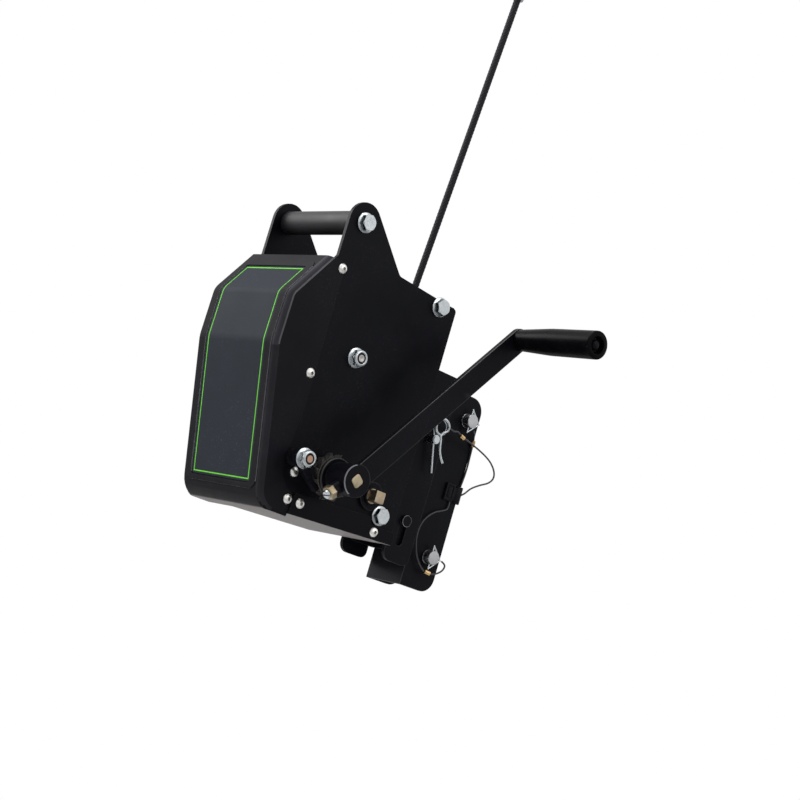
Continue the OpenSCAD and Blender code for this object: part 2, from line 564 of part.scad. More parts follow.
drum_ends = [-hx + 4, hx - 6];
module drum() color([0.4, 0.41, 0.42]) turned(0, drum_at) {
    b = axle_d / 2 + 3 + run;
    polygon([[b, drum_ends[0]], [barrel_r, drum_ends[0]], [barrel_r, -58], [drum_flange_r, -58],
        [drum_flange_r, -55], [barrel_r, -55], [barrel_r, 38], [drum_flange_r, 38], [drum_flange_r, 41],
        [barrel_r, 41], [barrel_r, drum_ends[1]], [b, drum_ends[1]], [b, drum_ends[1] - 20],
        [b + 7, drum_ends[1] - 20], [b + 7, drum_ends[0] + 20], [b, drum_ends[0] + 20]]);
}
module gear(z, phase, x, c, w, bore, window = 0) side(x, w) translate(c) difference() {
    polygon(gear_line(z, phase));
    circle(r = bore + run);
    if (window > 0) for (a = [30:60:330]) translate(at([0, 0], window, a)) circle(d = 26);
}
module drum_gear() color([0.45, 0.45, 0.46]) gear(z_drum, -90, 45, drum_at, gear_w, barrel_r, 62);
module rope_winding() color([0.08, 0.08, 0.08]) {
    tube(concat([wind_in], helix, [wind_out]), rope_r, 6);
    turned(0, drum_at) polygon([[barrel_r + run, -54.9], [layer_r - rope_r - fit, -54.9],
        [layer_r - rope_r - fit, 37.9], [barrel_r + run, 37.9]]);
}
module drum_bushes() color([0.75, 0.6, 0.35]) for (s = [0, 1]) turned(0, drum_at) {
    a = axle_d / 2 + run;
    e = drum_ends[s];
    d = s == 0 ? -1 : 1;
    polygon([[a, e - 20 * d], [a + 3 - run, e - 20 * d], [a + 3 - run, e + 0.1 * d], [a + 7, e + 0.1 * d],
        [a + 7, d * (hx - fit)], [a, d * (hx - fit)]]);
}
module circlip(x, c) rod(shaft_d / 2 + 1, x, x + 1.5, c);
module drive_shaft() color([0.72, 0.62, 0.35]) {
    rod(shaft_d / 2, -boss_x - 4, hub_x - fit, drive_at);
    side(hub_x - 1, hub_l + 0.8) translate(drive_at) square_end();
    circlip(-boss_x - fit - 1.5, drive_at);
}
module drive_pinion() color([0.45, 0.45, 0.46])
    gear(z_pinion, 90 + 180 / z_pinion, 44, drive_at, gear_w + 2, shaft_d / 2);
module drive_gear() color([0.45, 0.45, 0.46])
    gear(z_drive, shaft_step, -34 - gear_w, drive_at, gear_w, shaft_d / 2);
module brake_carrier() color([0.09, 0.09, 0.09]) turned(0, drive_at) {
    a = shaft_d / 2 + run;
    polygon([[a, boss_x + fit], [14, boss_x + fit], [14, carrier_x], [disc_r, carrier_x],
        [disc_r, lining_x], [sleeve_r, lining_x], [sleeve_r, pressure_x - 0.1], [a, pressure_x - 0.1]]);
}
module friction_discs() color([0.3, 0.26, 0.22]) for (x = [lining_x, front_lining_x])
    turned(x, drive_at) polygon([[sleeve_r + run, 0], [disc_r, 0], [disc_r, lining_t],
        [sleeve_r + run, lining_t]]);
module pressure_disc() color([0.09, 0.09, 0.09]) turned(pressure_x, drive_at) polygon([[shaft_d / 2 + run, 0],
    [disc_r, 0], [disc_r, 2.8], [disc_r - 1, 3.8], [shaft_d / 2 + run, 3.8]]);
module ratchet_wheel() color([0.14, 0.14, 0.14]) side(ratchet_x, ratchet_t) translate(drive_at) difference() {
    polygon(ratchet_line(nose_a + 0.5));
    circle(r = sleeve_r + run);
}
module crank_hub() color([0.08, 0.08, 0.08]) difference() {
    union() {
        turned(hub_x, drive_at) polygon([[0, 0], [hub_d / 2 - 1, 0], [hub_d / 2, 1], [hub_d / 2, hub_l - 1],
            [hub_d / 2 - 1, hub_l], [0, hub_l]]);
        on_plunger() translate([0, 0, hub_d / 2 - 4]) cylinder(d = 15, h = 11);
    }
    side(hub_x - 1, hub_l + 2) translate(drive_at) square_end(0.1);
    on_plunger() translate([0, 0, 1]) cylinder(r = 5 + run, h = 40, $fn = 32);
}
// Places its children in the hub, with Z out along the spring plunger
module on_plunger() translate([plunger_x, drive_at[0], drive_at[1]])
    rotate([plunger_angle - 90, 0, 0]) children();
module crank_arm() color([0.08, 0.08, 0.08]) side(arm_x, arm_t) difference() {
    union() {
        translate(drive_at) rotate(crank_angle) translate([0, -arm_w / 2]) square([crank_l, arm_w]);
        translate(grip_at) circle(d = arm_w);
    }
    translate(drive_at) circle(d = hub_d);
    translate(grip_at) circle(r = 6 + run);
}
nut_r = hub_d / 2 + 7;
ball_seat = square_w / 2 / cos(plunger_angle - crank_angle - 180) + 0.1 + ball_r;
module plunger_body() color([0.8, 0.81, 0.82]) on_plunger() difference() {
    translate([0, 0, ball_seat + 0.5]) cylinder(r = 5, h = nut_r + 13 - ball_seat - 0.5, $fn = 32);
    translate([0, 0, ball_seat - 1]) cylinder(r = ball_r + run, h = 14, $fn = 32);
    translate([-6, -0.8, nut_r + 10.5]) cube([12, 1.6, 4]);
}
module plunger_nut() color([0.8, 0.65, 0.25]) on_plunger() translate([0, 0, nut_r]) difference() {
    cylinder(d = 16 / cos(30), h = 7, $fn = 6);
    translate([0, 0, -1]) cylinder(r = 5 + run, h = 9, $fn = 32);
}
module detent_ball() color([0.85, 0.86, 0.88]) on_plunger() translate([0, 0, ball_seat]) {
    sphere(r = ball_r, $fn = 24);
    cylinder(r = ball_r - 0.4, h = 9, $fn = 24);
}
grip_end = grip_x + grip_l;
module grip_spindle() color([0.7, 0.71, 0.73]) {
    rod(6, arm_x - 0.5, grip_end - 4, grip_at, 32);
    rod(9, arm_x - 3, arm_x - run, grip_at, 32);
    rod(8.5, grip_end - 8, grip_end - 4, grip_at, 32);
}
module grip() color([0.07, 0.07, 0.07]) turned(grip_x, grip_at) {
    r = grip_d / 2;
    l = grip_l;
    polygon(concat([[6.1, 0], [11, 0], [11.4, 1.2], [r - 1.6, l * 0.45], [r - 0.4, l * 0.72], [r, l * 0.86]],
        [for (a = [0:15:60]) [r - 6 + 6 * cos(a), l - 5.2 + 6 * sin(a)]], [[8.9, l], [8.9, l - 8.3],
        [6.1, l - 8.3]]));
}
module second_shaft() color([0.72, 0.62, 0.35]) {
    rod(shaft_d / 2, -boss_x - 4, carrier_x, second_at);
    side(carrier_x - 1, 13.3) translate(second_at) intersection() {
        square(square_w, center = true);
        circle(d = square_w * 1.26);
    }
    circlip(boss_x + fit, second_at);
    circlip(-boss_x - fit - 1.5, second_at);
}
module second_gear() color([0.45, 0.45, 0.46])
    gear(z_second, shaft_step + 180 + 180 / z_second, -34 - gear_w, second_at, gear_w, shaft_d / 2);
// The pawl is drawn with the wheel at the origin: out from the wheel, then along the pawl to its stud
module pawl() color([0.12, 0.12, 0.12]) difference() {
    union() {
        side(ratchet_x, ratchet_t) translate(drive_at) rotate(nose_a) mirror([0, 1])
            polygon([[ratchet_r - 4.8, 0.1], [ratchet_r - 2.2, 13.4], [ratchet_r - 10, pawl_l - 9],
                [ratchet_r - 10, pawl_l - 4], [ratchet_r + 4, pawl_l - 4], [ratchet_r + 1.6, 0.1]]);
        rod(bolt_r + 5, ratchet_x, ratchet_x + ratchet_t, pawl_at);
    }
    rod(bolt_r + run, ratchet_x - 1, ratchet_x + ratchet_t + 1, pawl_at);
}
module guide_roller() color([0.5, 0.5, 0.5]) difference() {
    rod(roller_r, -50, 50, tie_at);
    rod(roller_r - 3 + run, -51, 51, tie_at);
}
module leg_pin(z) color([0.75, 0.76, 0.78]) difference() {
    union() {
        rod(leg_pin_d / 2, -saddle_x - 5, saddle_x + 1, [pin_y, z]);
        rod(leg_pin_d / 2 - 1.5, -saddle_x - 6.5, -saddle_x, [pin_y, z]);
        rod(leg_pin_d / 2 + 4, saddle_x + fit, saddle_x + 2.5, [pin_y, z]);
        rod(leg_pin_d / 2 + 1.5, saddle_x + 1, saddle_x + 10.4, [pin_y, z]);
        translate([saddle_x + 10.4, pin_y, z]) rotate([0, 90, 0])
            cylinder(r1 = leg_pin_d / 2 + 1.5, r2 = leg_pin_d / 2 - 0.2, h = 1.6);
        for (s = [-1, 1]) translate([-saddle_x - 2.2, pin_y, z + s * (leg_pin_d / 2 - 1.7)])
            sphere(r = 1.8, $fn = 24);
    }
    translate([ring_x, pin_y, z - 12]) cylinder(r = 1 + 0.08, h = 24, $fn = 24);
}
// Triangular wire ring through the head of a leg pin
module pin_ring(z) color([0.75, 0.76, 0.78]) {
    a = [ring_x, pin_y, z - ring_half];
    b = [ring_x, pin_y, z + ring_half];
    c = [ring_x, pin_y + 14, z];
    for (s = [[a, b], [b, c], [c, a]]) let(u = unit(s[1] - s[0])) translate(s[0]) {
        rotate([-atan2(u[1], u[2]), 0, 0]) cylinder(r = 1, h = norm(s[1] - s[0]), $fn = 24);
        sphere(r = 1.25, $fn = 24);
    }
}
module upper_leg_pin() leg_pin(pin_pitch);
module lower_leg_pin() leg_pin(0);
module upper_pin_ring() pin_ring(pin_pitch);
module lower_pin_ring() pin_ring(0);
module lock_pin() color([0.75, 0.76, 0.78]) difference() {
    union() {
        rod(lock_d / 2, -channel_x - 1, clip_x + 5, [-lock_y, lock_z]);
        rod(lock_d / 2 - 1, clip_x + 4, clip_x + 6, [-lock_y, lock_z]);
        rod(lock_d / 2 + 3, -channel_x - 6, -channel_x - fit, [-lock_y, lock_z]);
    }
    translate([clip_x, -lock_y, lock_z]) rotate([clip_tilt, 0, 0])
        cylinder(r = clip_d / 2 + 0.1, h = 16, center = true, $fn = 24);
}
module r_clip() color([0.7, 0.71, 0.73]) tube(clip_path, clip_d / 2, 8);
module hook_swivel() color([0.7, 0.71, 0.73]) on_rope() {
    translate([0, 0, 18.3]) cylinder(d = 10.4, h = 3);
    translate([0, 0, 18.3]) cylinder(d = 6.2, h = 22);
}
hook_c = [0, 40 + hook_r + 5];
function gate_end(a) = at(hook_c, hook_r, a);
module hook_plane(t) on_rope() rotate([90, 0, 0]) translate([0, 0, -t / 2]) linear_extrude(t) children();
module snap_hook() color([0.7, 0.71, 0.73]) difference() {
    union() {
        hook_plane(12) difference() {
            union() {
                translate(hook_c) circle(r = hook_r + 5.5);
                translate([-9, 32 + fit]) square([18, 16]);
            }
            translate(hook_c) circle(r = hook_r - 5.5);
            polygon([hook_c, hook_c + 60 * [cos(-32), sin(-32)], hook_c + [60, 9], hook_c + [0, 9]]);
        }
        hook_plane(11) translate(gate_end(-38)) circle(r = 2.5);
    }
    difference() {
        hook_plane(6.2) translate(gate_end(-38)) rotate(0) union() {
            circle(r = 7.2);
            translate([-7.2, 0]) square([14.4, 12]);
        }
        hook_plane(14) translate(gate_end(-38)) circle(r = 2.5);
    }
    on_rope() translate([0, 0, 30]) cylinder(d = 6.2 + 2 * run, h = 10.35);
}
module hook_gate() color([0.7, 0.71, 0.73]) hook_plane(5.6) difference() {
    union() {
        translate(gate_end(-38)) circle(r = 5);
        polygon([gate_end(-38) + [-3.5, 0], gate_end(-38) + [3.5, 0], hook_c + [hook_r + 0.9, 7.2],
            hook_c + [hook_r - 5.7, 8.5]]);
    }
    translate(gate_end(-38)) circle(r = 2.5 + run);
}

near_plate();
far_plate();
front_cover();
label_panel();
bottom_pan();
top_guard();
winch_adapter();
handle_tube();
flange_bolts();
flange_nuts();
button_screws();
tie_tube();
drum_axle();
pawl_stud();
shaft_bushes();
leg_saddle();
saddle_tongue();
hang_stud();
lanyard_anchor();
rope_lead();
rope_run();
rope_socket();
lanyard_upper();
lanyard_lower();
lanyard_clip();
lanyard_ferrules();
pawl_spring();
drum();
drum_gear();
rope_winding();
drum_bushes();
drive_shaft();
drive_pinion();
drive_gear();
brake_carrier();
friction_discs();
pressure_disc();
ratchet_wheel();
crank_hub();
crank_arm();
plunger_body();
plunger_nut();
grip_spindle();
detent_ball();
grip();
second_shaft();
second_gear();
pawl();
guide_roller();
upper_leg_pin();
upper_pin_ring();
lower_leg_pin();
lower_pin_ring();
lock_pin();
r_clip();
hook_swivel();
snap_hook();
hook_gate();
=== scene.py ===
import json
import math

import bpy
from mathutils import Matrix, Vector


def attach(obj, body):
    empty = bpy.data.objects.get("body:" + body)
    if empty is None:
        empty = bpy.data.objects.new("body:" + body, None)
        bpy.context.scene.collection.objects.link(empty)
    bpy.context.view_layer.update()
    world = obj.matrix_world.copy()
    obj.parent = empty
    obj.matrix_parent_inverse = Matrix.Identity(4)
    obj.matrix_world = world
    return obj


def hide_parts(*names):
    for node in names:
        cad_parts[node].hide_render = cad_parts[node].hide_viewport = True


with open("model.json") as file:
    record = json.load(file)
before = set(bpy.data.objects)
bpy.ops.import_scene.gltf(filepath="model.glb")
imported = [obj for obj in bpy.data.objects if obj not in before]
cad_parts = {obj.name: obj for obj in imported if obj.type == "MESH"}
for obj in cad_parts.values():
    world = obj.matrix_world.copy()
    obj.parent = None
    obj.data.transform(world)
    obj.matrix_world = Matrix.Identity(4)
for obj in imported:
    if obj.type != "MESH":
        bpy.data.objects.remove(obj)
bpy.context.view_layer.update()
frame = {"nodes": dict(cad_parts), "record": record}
record = frame["record"]
# Body and material slot of each CAD node, and the nodes that a piece of this script stands for.
home = {n: body for body, nodes in record["behaviour"]["bodies"].items() for n in nodes}
slot_of = {s["node"]: s["material_slot"] for s in record["subparts"]}
done = set()


def new_object(name, data):
    piece = bpy.data.objects.new(name, data)
    bpy.context.scene.collection.objects.link(piece)
    return piece


# ---------------------------------------------------------------- camera

IMAGE, SENSOR = 800, 36
FOCAL, MIDDLE = 1893.68, (384.17, 421.31)  # fitted to the housing's parallel edges, in pixels of the image


def aim_camera():
    right = Vector((0.647853, 0.708861, 0.278930))
    down = Vector((0.076294, 0.303943, -0.949630))
    ahead = Vector((-0.757935, 0.636502, 0.142829))
    lens = bpy.data.cameras.new("bench_camera")
    lens.sensor_width = SENSOR
    lens.lens = FOCAL / IMAGE * SENSOR
    lens.shift_x = (IMAGE / 2 - MIDDLE[0]) / IMAGE
    lens.shift_y = (MIDDLE[1] - IMAGE / 2) / IMAGE
    camera = new_object("bench_camera", lens)
    turn = Matrix((right, -down, -ahead)).transposed().to_4x4()
    camera.matrix_world = Matrix.Translation((1.58976, -1.40152, -0.17183)) @ turn
    bpy.context.scene.camera = camera


aim_camera()


# ---------------------------------------------------------------- workshop helpers

def deselect():
    bpy.ops.object.select_all(action="DESELECT")


def only(piece):
    deselect()
    piece.select_set(True)
    bpy.context.view_layer.objects.active = piece


def open_mesh(action="SELECT"):
    """Edit mode on the active piece, with everything in it selected or deselected."""
    bpy.ops.object.mode_set(mode="EDIT")
    bpy.ops.mesh.select_all(action=action)


def close_mesh():
    bpy.ops.object.mode_set(mode="OBJECT")


def pick(piece, kind, chosen):
    """Edit mode with only those edges or faces selected for which chosen(element) holds."""
    only(piece)
    bpy.ops.object.mode_set(mode="EDIT")
    bpy.ops.mesh.select_mode(type=kind)
    bpy.ops.mesh.select_all(action="DESELECT")
    close_mesh()
    for element in piece.data.edges if kind == "EDGE" else piece.data.polygons:
        element.select = chosen(element)
    bpy.ops.object.mode_set(mode="EDIT")


def modify(piece, kind, **settings):
    only(piece)
    tool = piece.modifiers.new(kind.lower(), kind)
    for key, value in settings.items():
        setattr(tool, key, value)
    bpy.ops.object.modifier_apply(modifier=tool.name)


def break_edges(piece, width, segments, angle, **settings):
    """Bevels the edges that are sharper than an angle in degrees."""
    modify(piece, "BEVEL", width=width, segments=segments, limit_method="ANGLE",
           angle_limit=math.radians(angle), **settings)


def cut(piece, tool, operation="DIFFERENCE", **settings):
    """Boolean with a tool, which is put away after it."""
    modify(piece, "BOOLEAN", operation=operation, object=tool, solver="EXACT", **settings)
    put_away(tool)


def smooth_by_angle(piece, degrees):
    only(piece)
    bpy.ops.object.shade_smooth_by_angle(angle=math.radians(degrees))


def settle(piece, place=None):
    """Puts the piece's place into its mesh and leaves the object at the origin."""
    if place is not None:
        piece.matrix_world = place
        bpy.context.view_layer.update()
    only(piece)
    bpy.ops.object.transform_apply(location=True, rotation=True, scale=True)


def lathe(name, steps, sides=48):
    """A turned piece that stands on the origin. A filled ring is extruded and sized from step to step,
    and each step is a radius and a height in metres."""
    radius, height = steps[0]
    deselect()
    bpy.ops.mesh.primitive_circle_add(vertices=sides, radius=radius, fill_type="NGON", location=(0, 0, 0))
    piece = bpy.context.object
    piece.name = name
    open_mesh()
    bpy.ops.transform.translate(value=(0, 0, height))
    for r, z in steps[1:]:
        bpy.ops.mesh.extrude_region_move(TRANSFORM_OT_translate={"value": (0, 0, z - height)})
        if abs(r - radius) > 1e-9:
            bpy.ops.transform.resize(value=(r / radius, r / radius, 1), center_override=(0, 0, z))
        radius, height = r, z
    bpy.ops.mesh.select_all(action="SELECT")
    bpy.ops.mesh.normals_make_consistent(inside=False)
    close_mesh()
    return piece


def square_bar(name, width, corner, low, high, turn):
    """A square bar along Z with rounded corners and a broken edge at its end; turn is in degrees."""
    bar = lathe(name, [(width / math.sqrt(2), low), (width / math.sqrt(2), high)], 4)

    def upright(edge):
        a, b = (bar.data.vertices[v].co for v in edge.vertices)
        return abs(a.z - b.z) > (high - low) / 2

    pick(bar, "EDGE", upright)
    bpy.ops.mesh.bevel(offset=corner, segments=6, affect="EDGES")
    close_mesh()
    break_edges(bar, 0.0006, 3, 60)
    bar.data.transform(Matrix.Rotation(math.radians(turn), 4, "Z"))
    return bar


def block(place, size):
    deselect()
    bpy.ops.mesh.primitive_cube_add(size=1, location=place, scale=size)
    piece = bpy.context.object
    settle(piece)
    return piece


def dress(piece, *materials):
    piece.data.materials.clear()
    for m in materials:
        piece.data.materials.append(m)


def paint(piece, finish, where):
    """Gives the faces for which where(centre, normal) holds another finish."""
    piece.data.materials.append(finish)
    slot = len(piece.data.materials) - 1
    for poly in piece.data.polygons:
        if where(poly.center, poly.normal):
            poly.material_index = slot


def raise_face(piece, height):
    """Thickens a curved panel: its front side moves out towards -Y, in metres."""
    front = {v for poly in piece.data.polygons if poly.normal.y < -0.5 for v in poly.vertices}
    for v in front:
        piece.data.vertices[v].co += Vector((0, -height, 0.15 * height))


def join(name, parts):
    deselect()
    for p in parts:
        p.select_set(True)
    bpy.context.view_layer.objects.active = parts[0]
    bpy.ops.object.join()
    parts[0].name = name
    return parts[0]


def placed_copy(model, place):
    """A copy with its own mesh, moved in the mesh."""
    copy = new_object(model.name + "_copy", model.data.copy())
    copy.data.transform(place)
    return copy


def put_away(piece):
    bpy.data.objects.remove(piece, do_unlink=True)


def across(x, y, z, turn=0.0, inward=False):
    """Stands a piece drawn along Z on a face that looks along X, at a place in millimetres.
    The piece is first turned about its own axis, in radians, and inward points it towards -X."""
    side = -1 if inward else 1
    stand = Matrix.Rotation(side * math.pi / 2, 4, "Y")
    return Matrix.Translation((x / 1000, y / 1000, z / 1000)) @ stand @ Matrix.Rotation(turn, 4, "Z")


def carry(piece, node):
    """Hides the CAD node that the piece stands for and gives the piece its body."""
    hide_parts(node)
    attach(piece, home[node])
    done.add(node)
    return piece


# ---------------------------------------------------------------- round stock that follows a route

def at(centre, r, degrees):
    """A point (y, z) at a radius and an angle from a centre."""
    a = math.radians(degrees)
    return (centre[0] + r * math.cos(a), centre[1] + r * math.sin(a))


def eased_route(points, k):
    """The chosen points with k steps from each to the next, on one smooth curve."""
    p = [Vector(q) for q in points]
    out = []
    for i in range(len(p) - 1):
        a, b, c, d = p[max(i - 1, 0)], p[i], p[i + 1], p[min(i + 2, len(p) - 1)]
        for j in range(k):
            t = j / k
            out.append(b + (c - a) * (t / 2) + (2 * a - 5 * b + 4 * c - d) * (t * t / 2)
                       + (3 * b - a - 3 * c + d) * (t ** 3 / 2))
    return out + [p[-1]]


def even_route(points, step):
    """The same route with its points a fixed step apart."""
    p = [Vector(q) for q in points]
    run = [0.0]
    for a, b in zip(p, p[1:]):
        run.append(run[-1] + (b - a).length)
    count = max(2, round(run[-1] / step))
    out, i = [], 0
    for k in range(count + 1):
        s = run[-1] * k / count
        while i < len(p) - 2 and run[i + 1] < s:
            i += 1
        t = (s - run[i]) / max(run[i + 1] - run[i], 1e-12)
        out.append(p[i].lerp(p[i + 1], min(max(t, 0), 1)))
    return out


def braid_height(turn, length, strands, pitch):
    """0 in the valleys and 1 on the crowns of a plain braid."""
    a, b = strands * turn + length / pitch, strands * turn - length / pitch
    fa, fb = a - math.floor(a), b - math.floor(b)
    if (math.floor(a) + math.floor(b)) % 2:
        fa, fb = fb, fa
    return math.sin(math.pi * fa) ** 0.6 * (0.7 + 0.3 * math.sin(math.pi * fb))


def round_stock(name, points, radius, sides, braid=None):
    """A tube along points in millimetres, closed at both ends, with UV in metres: round it and along it.
    braid = (strands, pitch, depth) in millimetres raises the strands of a braided rope."""
    p = [Vector(q) / 1000 for q in points]
    n = len(p)
    ahead = [(p[min(i + 1, n - 1)] - p[max(i - 1, 0)]).normalized() for i in range(n)]
    up = Vector((1, 0.013, 0.021))
    verts, run, s = [], [], 0.0
    for i in range(n):
        if i:
            s += (p[i] - p[i - 1]).length
        run.append(s)
        up = (up - ahead[i] * up.dot(ahead[i])).normalized()
        out = ahead[i].cross(up)
        for k in range(sides):
            r = radius
            if braid:
                r = radius - braid[2] * (1 - braid_height(k / sides, s * 1000, braid[0], braid[1]))
            a = 2 * math.pi * k / sides
            verts.append(p[i] + (up * math.cos(a) + out * math.sin(a)) * (r / 1000))
    faces = [tuple(range(sides - 1, -1, -1)), tuple((n - 1) * sides + k for k in range(sides))]
    for row in range(0, (n - 1) * sides, sides):
        for k in range(sides):
            beside = (k + 1) % sides
            faces.append((row + k, row + beside, row + sides + beside, row + sides + k))
    mesh = bpy.data.meshes.new(name)
    mesh.from_pydata([tuple(v) for v in verts], [], faces)
    uv = mesh.uv_layers.new(name="UVMap")
    girth = 2 * math.pi * radius / 1000
    for poly in mesh.polygons:
        ks = [mesh.loops[i].vertex_index % sides for i in poly.loop_indices]
        wraps = sides - 1 in ks and 0 in ks and len(ks) == 4
        for i, k in zip(poly.loop_indices, ks):
            row = mesh.loops[i].vertex_index // sides
            uv.data[i].uv = ((k + (sides if wraps and k == 0 else 0)) / sides * girth, run[row])
    piece = new_object(name, mesh)
    smooth_by_angle(piece, 60)
    return piece


# ---------------------------------------------------------------- the rope, made first

# Axes that run across the winch and places of its fasteners: (y, z) in millimetres.
DRUM, ROLLER, DRIVE, SECOND = (-184, 165.2), (-92.6, 254.5), (-184, 36.45), (-112.761, 35.207)
PAWL, GRIP_AXIS, HANDLE_BOLT, LOW_BOLT = (-228.5, 43.7), (-19.139, 245.2), (-222.8, 300.7), (-92.3, 18.8)
COVER_SCREWS = [(-235.7, 245), (-236.9, 130.8), (-218.6, 1.4)]
PAN_SCREWS = [(-203.1, 1.0), (-96.9, 0.0)]
STOP_SCREW = [(-218.5, 29.9)]

# The rope in millimetres and degrees: its own radius and its braid; the x of its lane, the radius of its
# outer layer on the drum and of its bend round the roller, the step from turn to turn and the straight tail
# at the layer's ends; the height of the housing's mouth and of the rope's top, and its angle off the roller.
ROPE_R, BRAID = 4.0, (7, 4.4, 0.42)
ROPE_X, LAYER_R, WRAP_R, STEP, TAIL = -4, 62, 15.3, 8.9, 8
LEAD_END, ROPE_TOP, OUT_A = 262, 645, -4.1
reach = math.hypot(ROLLER[0] - DRUM[0], ROLLER[1] - DRUM[1])
LEAD_A = math.degrees(math.atan2(ROLLER[1] - DRUM[1], ROLLER[0] - DRUM[0])
                      - math.acos((LAYER_R - WRAP_R) / reach))
leave = at(ROLLER, WRAP_R, OUT_A)


def rope_y(z):
    return leave[0] + (z - leave[1]) * math.tan(math.radians(-OUT_A))


def make_free_rope():
    route = [(ROPE_X, rope_y(z), z) for z in (LEAD_END, ROPE_TOP)]
    rope = round_stock("free_rope", even_route(route, 0.5), ROPE_R, 56, BRAID)
    carry(rope, "rope_run")
    return rope


def make_rope_lead():
    """From the drum round the guide roller to the mouth of the housing."""
    y, z = at(DRUM, LAYER_R, LEAD_A)
    a = math.radians(LEAD_A)
    route = [(ROPE_X, y - TAIL * math.sin(a), z + TAIL * math.cos(a))]
    route += [(ROPE_X,) + at(ROLLER, WRAP_R, LEAD_A + (OUT_A - LEAD_A) * i / 12) for i in range(13)]
    route += [(ROPE_X, rope_y(LEAD_END), LEAD_END)]
    return carry(round_stock("rope_off_the_drum", even_route(route, 0.6), ROPE_R, 40, BRAID), "rope_lead")


def make_rope_winding():
    """The outer layer of rope on the drum, over a ridged layer of the turns below it."""
    flange_x = 54.8
    turns = (ROPE_X + flange_x - ROPE_R) / STEP
    steps = math.ceil(turns * 72)
    helix = []
    for i in range(steps + 1):
        k = 1 - i / steps
        helix.append((ROPE_X - STEP * turns * k,) + at(DRUM, LAYER_R, LEAD_A - 360 * turns * k))
    first = math.radians(LEAD_A - 360 * turns)
    last = math.radians(LEAD_A)
    (x0, y0, z0), (x1, y1, z1) = helix[0], helix[-1]
    route = [(x0, y0 + TAIL * math.sin(first), z0 - TAIL * math.cos(first))] + helix
    route += [(x1, y1 - TAIL * math.sin(last), z1 + TAIL * math.cos(last))]
    outer = round_stock("outer_layer", route, ROPE_R, 20)
    core_r, low, high = 0.0321, -0.0549, 0.0379
    ridges, ridge_step, ridge_top = 11, 8.436, 57.7
    steps = [(core_r, low)]
    for i in range(ridges):
        centre = low * 1000 + ridge_step * (i + 0.5)
        steps += [((ridge_top - ROPE_R + ROPE_R * math.cos(t)) / 1000, (centre + 4.1 * math.sin(t)) / 1000)
                  for t in [math.pi * (j / 6 - 0.5) for j in range(7)]]
    lower = lathe("lower_layer", steps + [(core_r, high)], 96)
    settle(lower, across(0, *DRUM))
    winding = join("wound_rope", [outer, lower])
    smooth_by_angle(winding, 50)
    return carry(winding, "rope_winding")


# ---------------------------------------------------------------- coated wire lanyards and the spring clip

# The R-clip's x and the leg pins' y, the lock pin's (y, z), all in millimetres, and how far the clip tilts.
CLIP_X, PIN_Y, LOCK, CLIP_TILT = 46, 25, (-30, 122.5), math.radians(16)


def hung(x, y, z):
    """A point of the spring clip, turned about the lock pin as the clip hangs."""
    y, z = y - LOCK[0], z - LOCK[1]
    return (x, LOCK[0] + y * math.cos(CLIP_TILT) - z * math.sin(CLIP_TILT),
            LOCK[1] + y * math.sin(CLIP_TILT) + z * math.cos(CLIP_TILT))


UPPER_ROUTE = [hung(CLIP_X + 1.5, -11.3, 136.8), (47, -5, 139.4), (46, 2.3, 140.9), (45, 11.1, 137.7),
               (44, 22, 136.5), (43, 34.2, 134.2), (41, 47, 132), (40, 59.5, 128.7), (36, 73, 125),
               (33, 84, 118.5), (31, 88.2, 111), (29, 84.6, 104), (28, 73, 97.5), (28, 62, 90.5),
               (28.5, 54, 82.5), (28.7, 49.3, 79)]
CLIP_ROUTE = [(35.5, PIN_Y + 8.8, 151.7), (34.8, 37.1, 148.2), (33, 40.2, 143.5), (32, 42.1, 138),
              (31, 43.5, 131), (30.4, 44.5, 122), (30.4, 45, 112), (30.5, 44.5, 101), (30.6, 43, 87.3)]
LOWER_ROUTE = [(30.7, 33, 66.7), (30.9, 32.4, 58.4), (31.6, 25, 54), (32, 15, 49.5), (32, 6.2, 42),
               (32, 0, 32.2), (32, -1.6, 20), (32.4, 0.6, 8), (33.5, 6, -4), (35, 13.4, -12.9),
               (36.1, 20.1, -16.9), (37, 24, -17.4), (37.9, 27.9, -17.9), (39.5, 35, -15.8), (40, 42.5, -10),
               (38.5, 45.5, -3.5), (36, 41.3, 0)]


def make_lanyard(name, node, route):
    fine = eased_route(route, 6)
    wire = round_stock(name, even_route(fine, 0.8), 1.0, 16)
    carry(wire, node)
    marks = [tuple(q / 1000) for q in even_route(fine, 5)]
    return wire


def make_spring_clip():
    """One straight leg, an open turn of one and a half rounds, and the bent leg that grips the pin."""
    route = [(CLIP_X, -30, z) for z in (85, 96, 108, 120, 129.5)]
    route += [(CLIP_X + 0.16 * i,) + at((-22, 136.5), 8.7, 180 - 15 * i) for i in range(37)]
    route += [(CLIP_X + x, y, z) for x, y, z in
              ((5, -14.5, 132.2), (4, -19.8, 129.6), (3.6, -22.9, 126.4), (3.6, -22.7, 122.5),
               (3.6, -22.9, 117), (3.6, -22.9, 110), (3.6, -21, 103), (3.6, -17.6, 96.5))]
    fine = even_route(eased_route([hung(*p) for p in route], 4), 0.6)
    return carry(round_stock("spring_clip", fine, 1.6, 20), "r_clip")


def make_pawl_spring():
    """Four turns of wire round the pawl's stud."""
    route = [(69.6 + 8.3 * i / 128,) + at(PAWL, 8.2, 150 + 11.25 * i) for i in range(129)]
    return carry(round_stock("wound_spring", route, 0.7, 12), "pawl_spring")


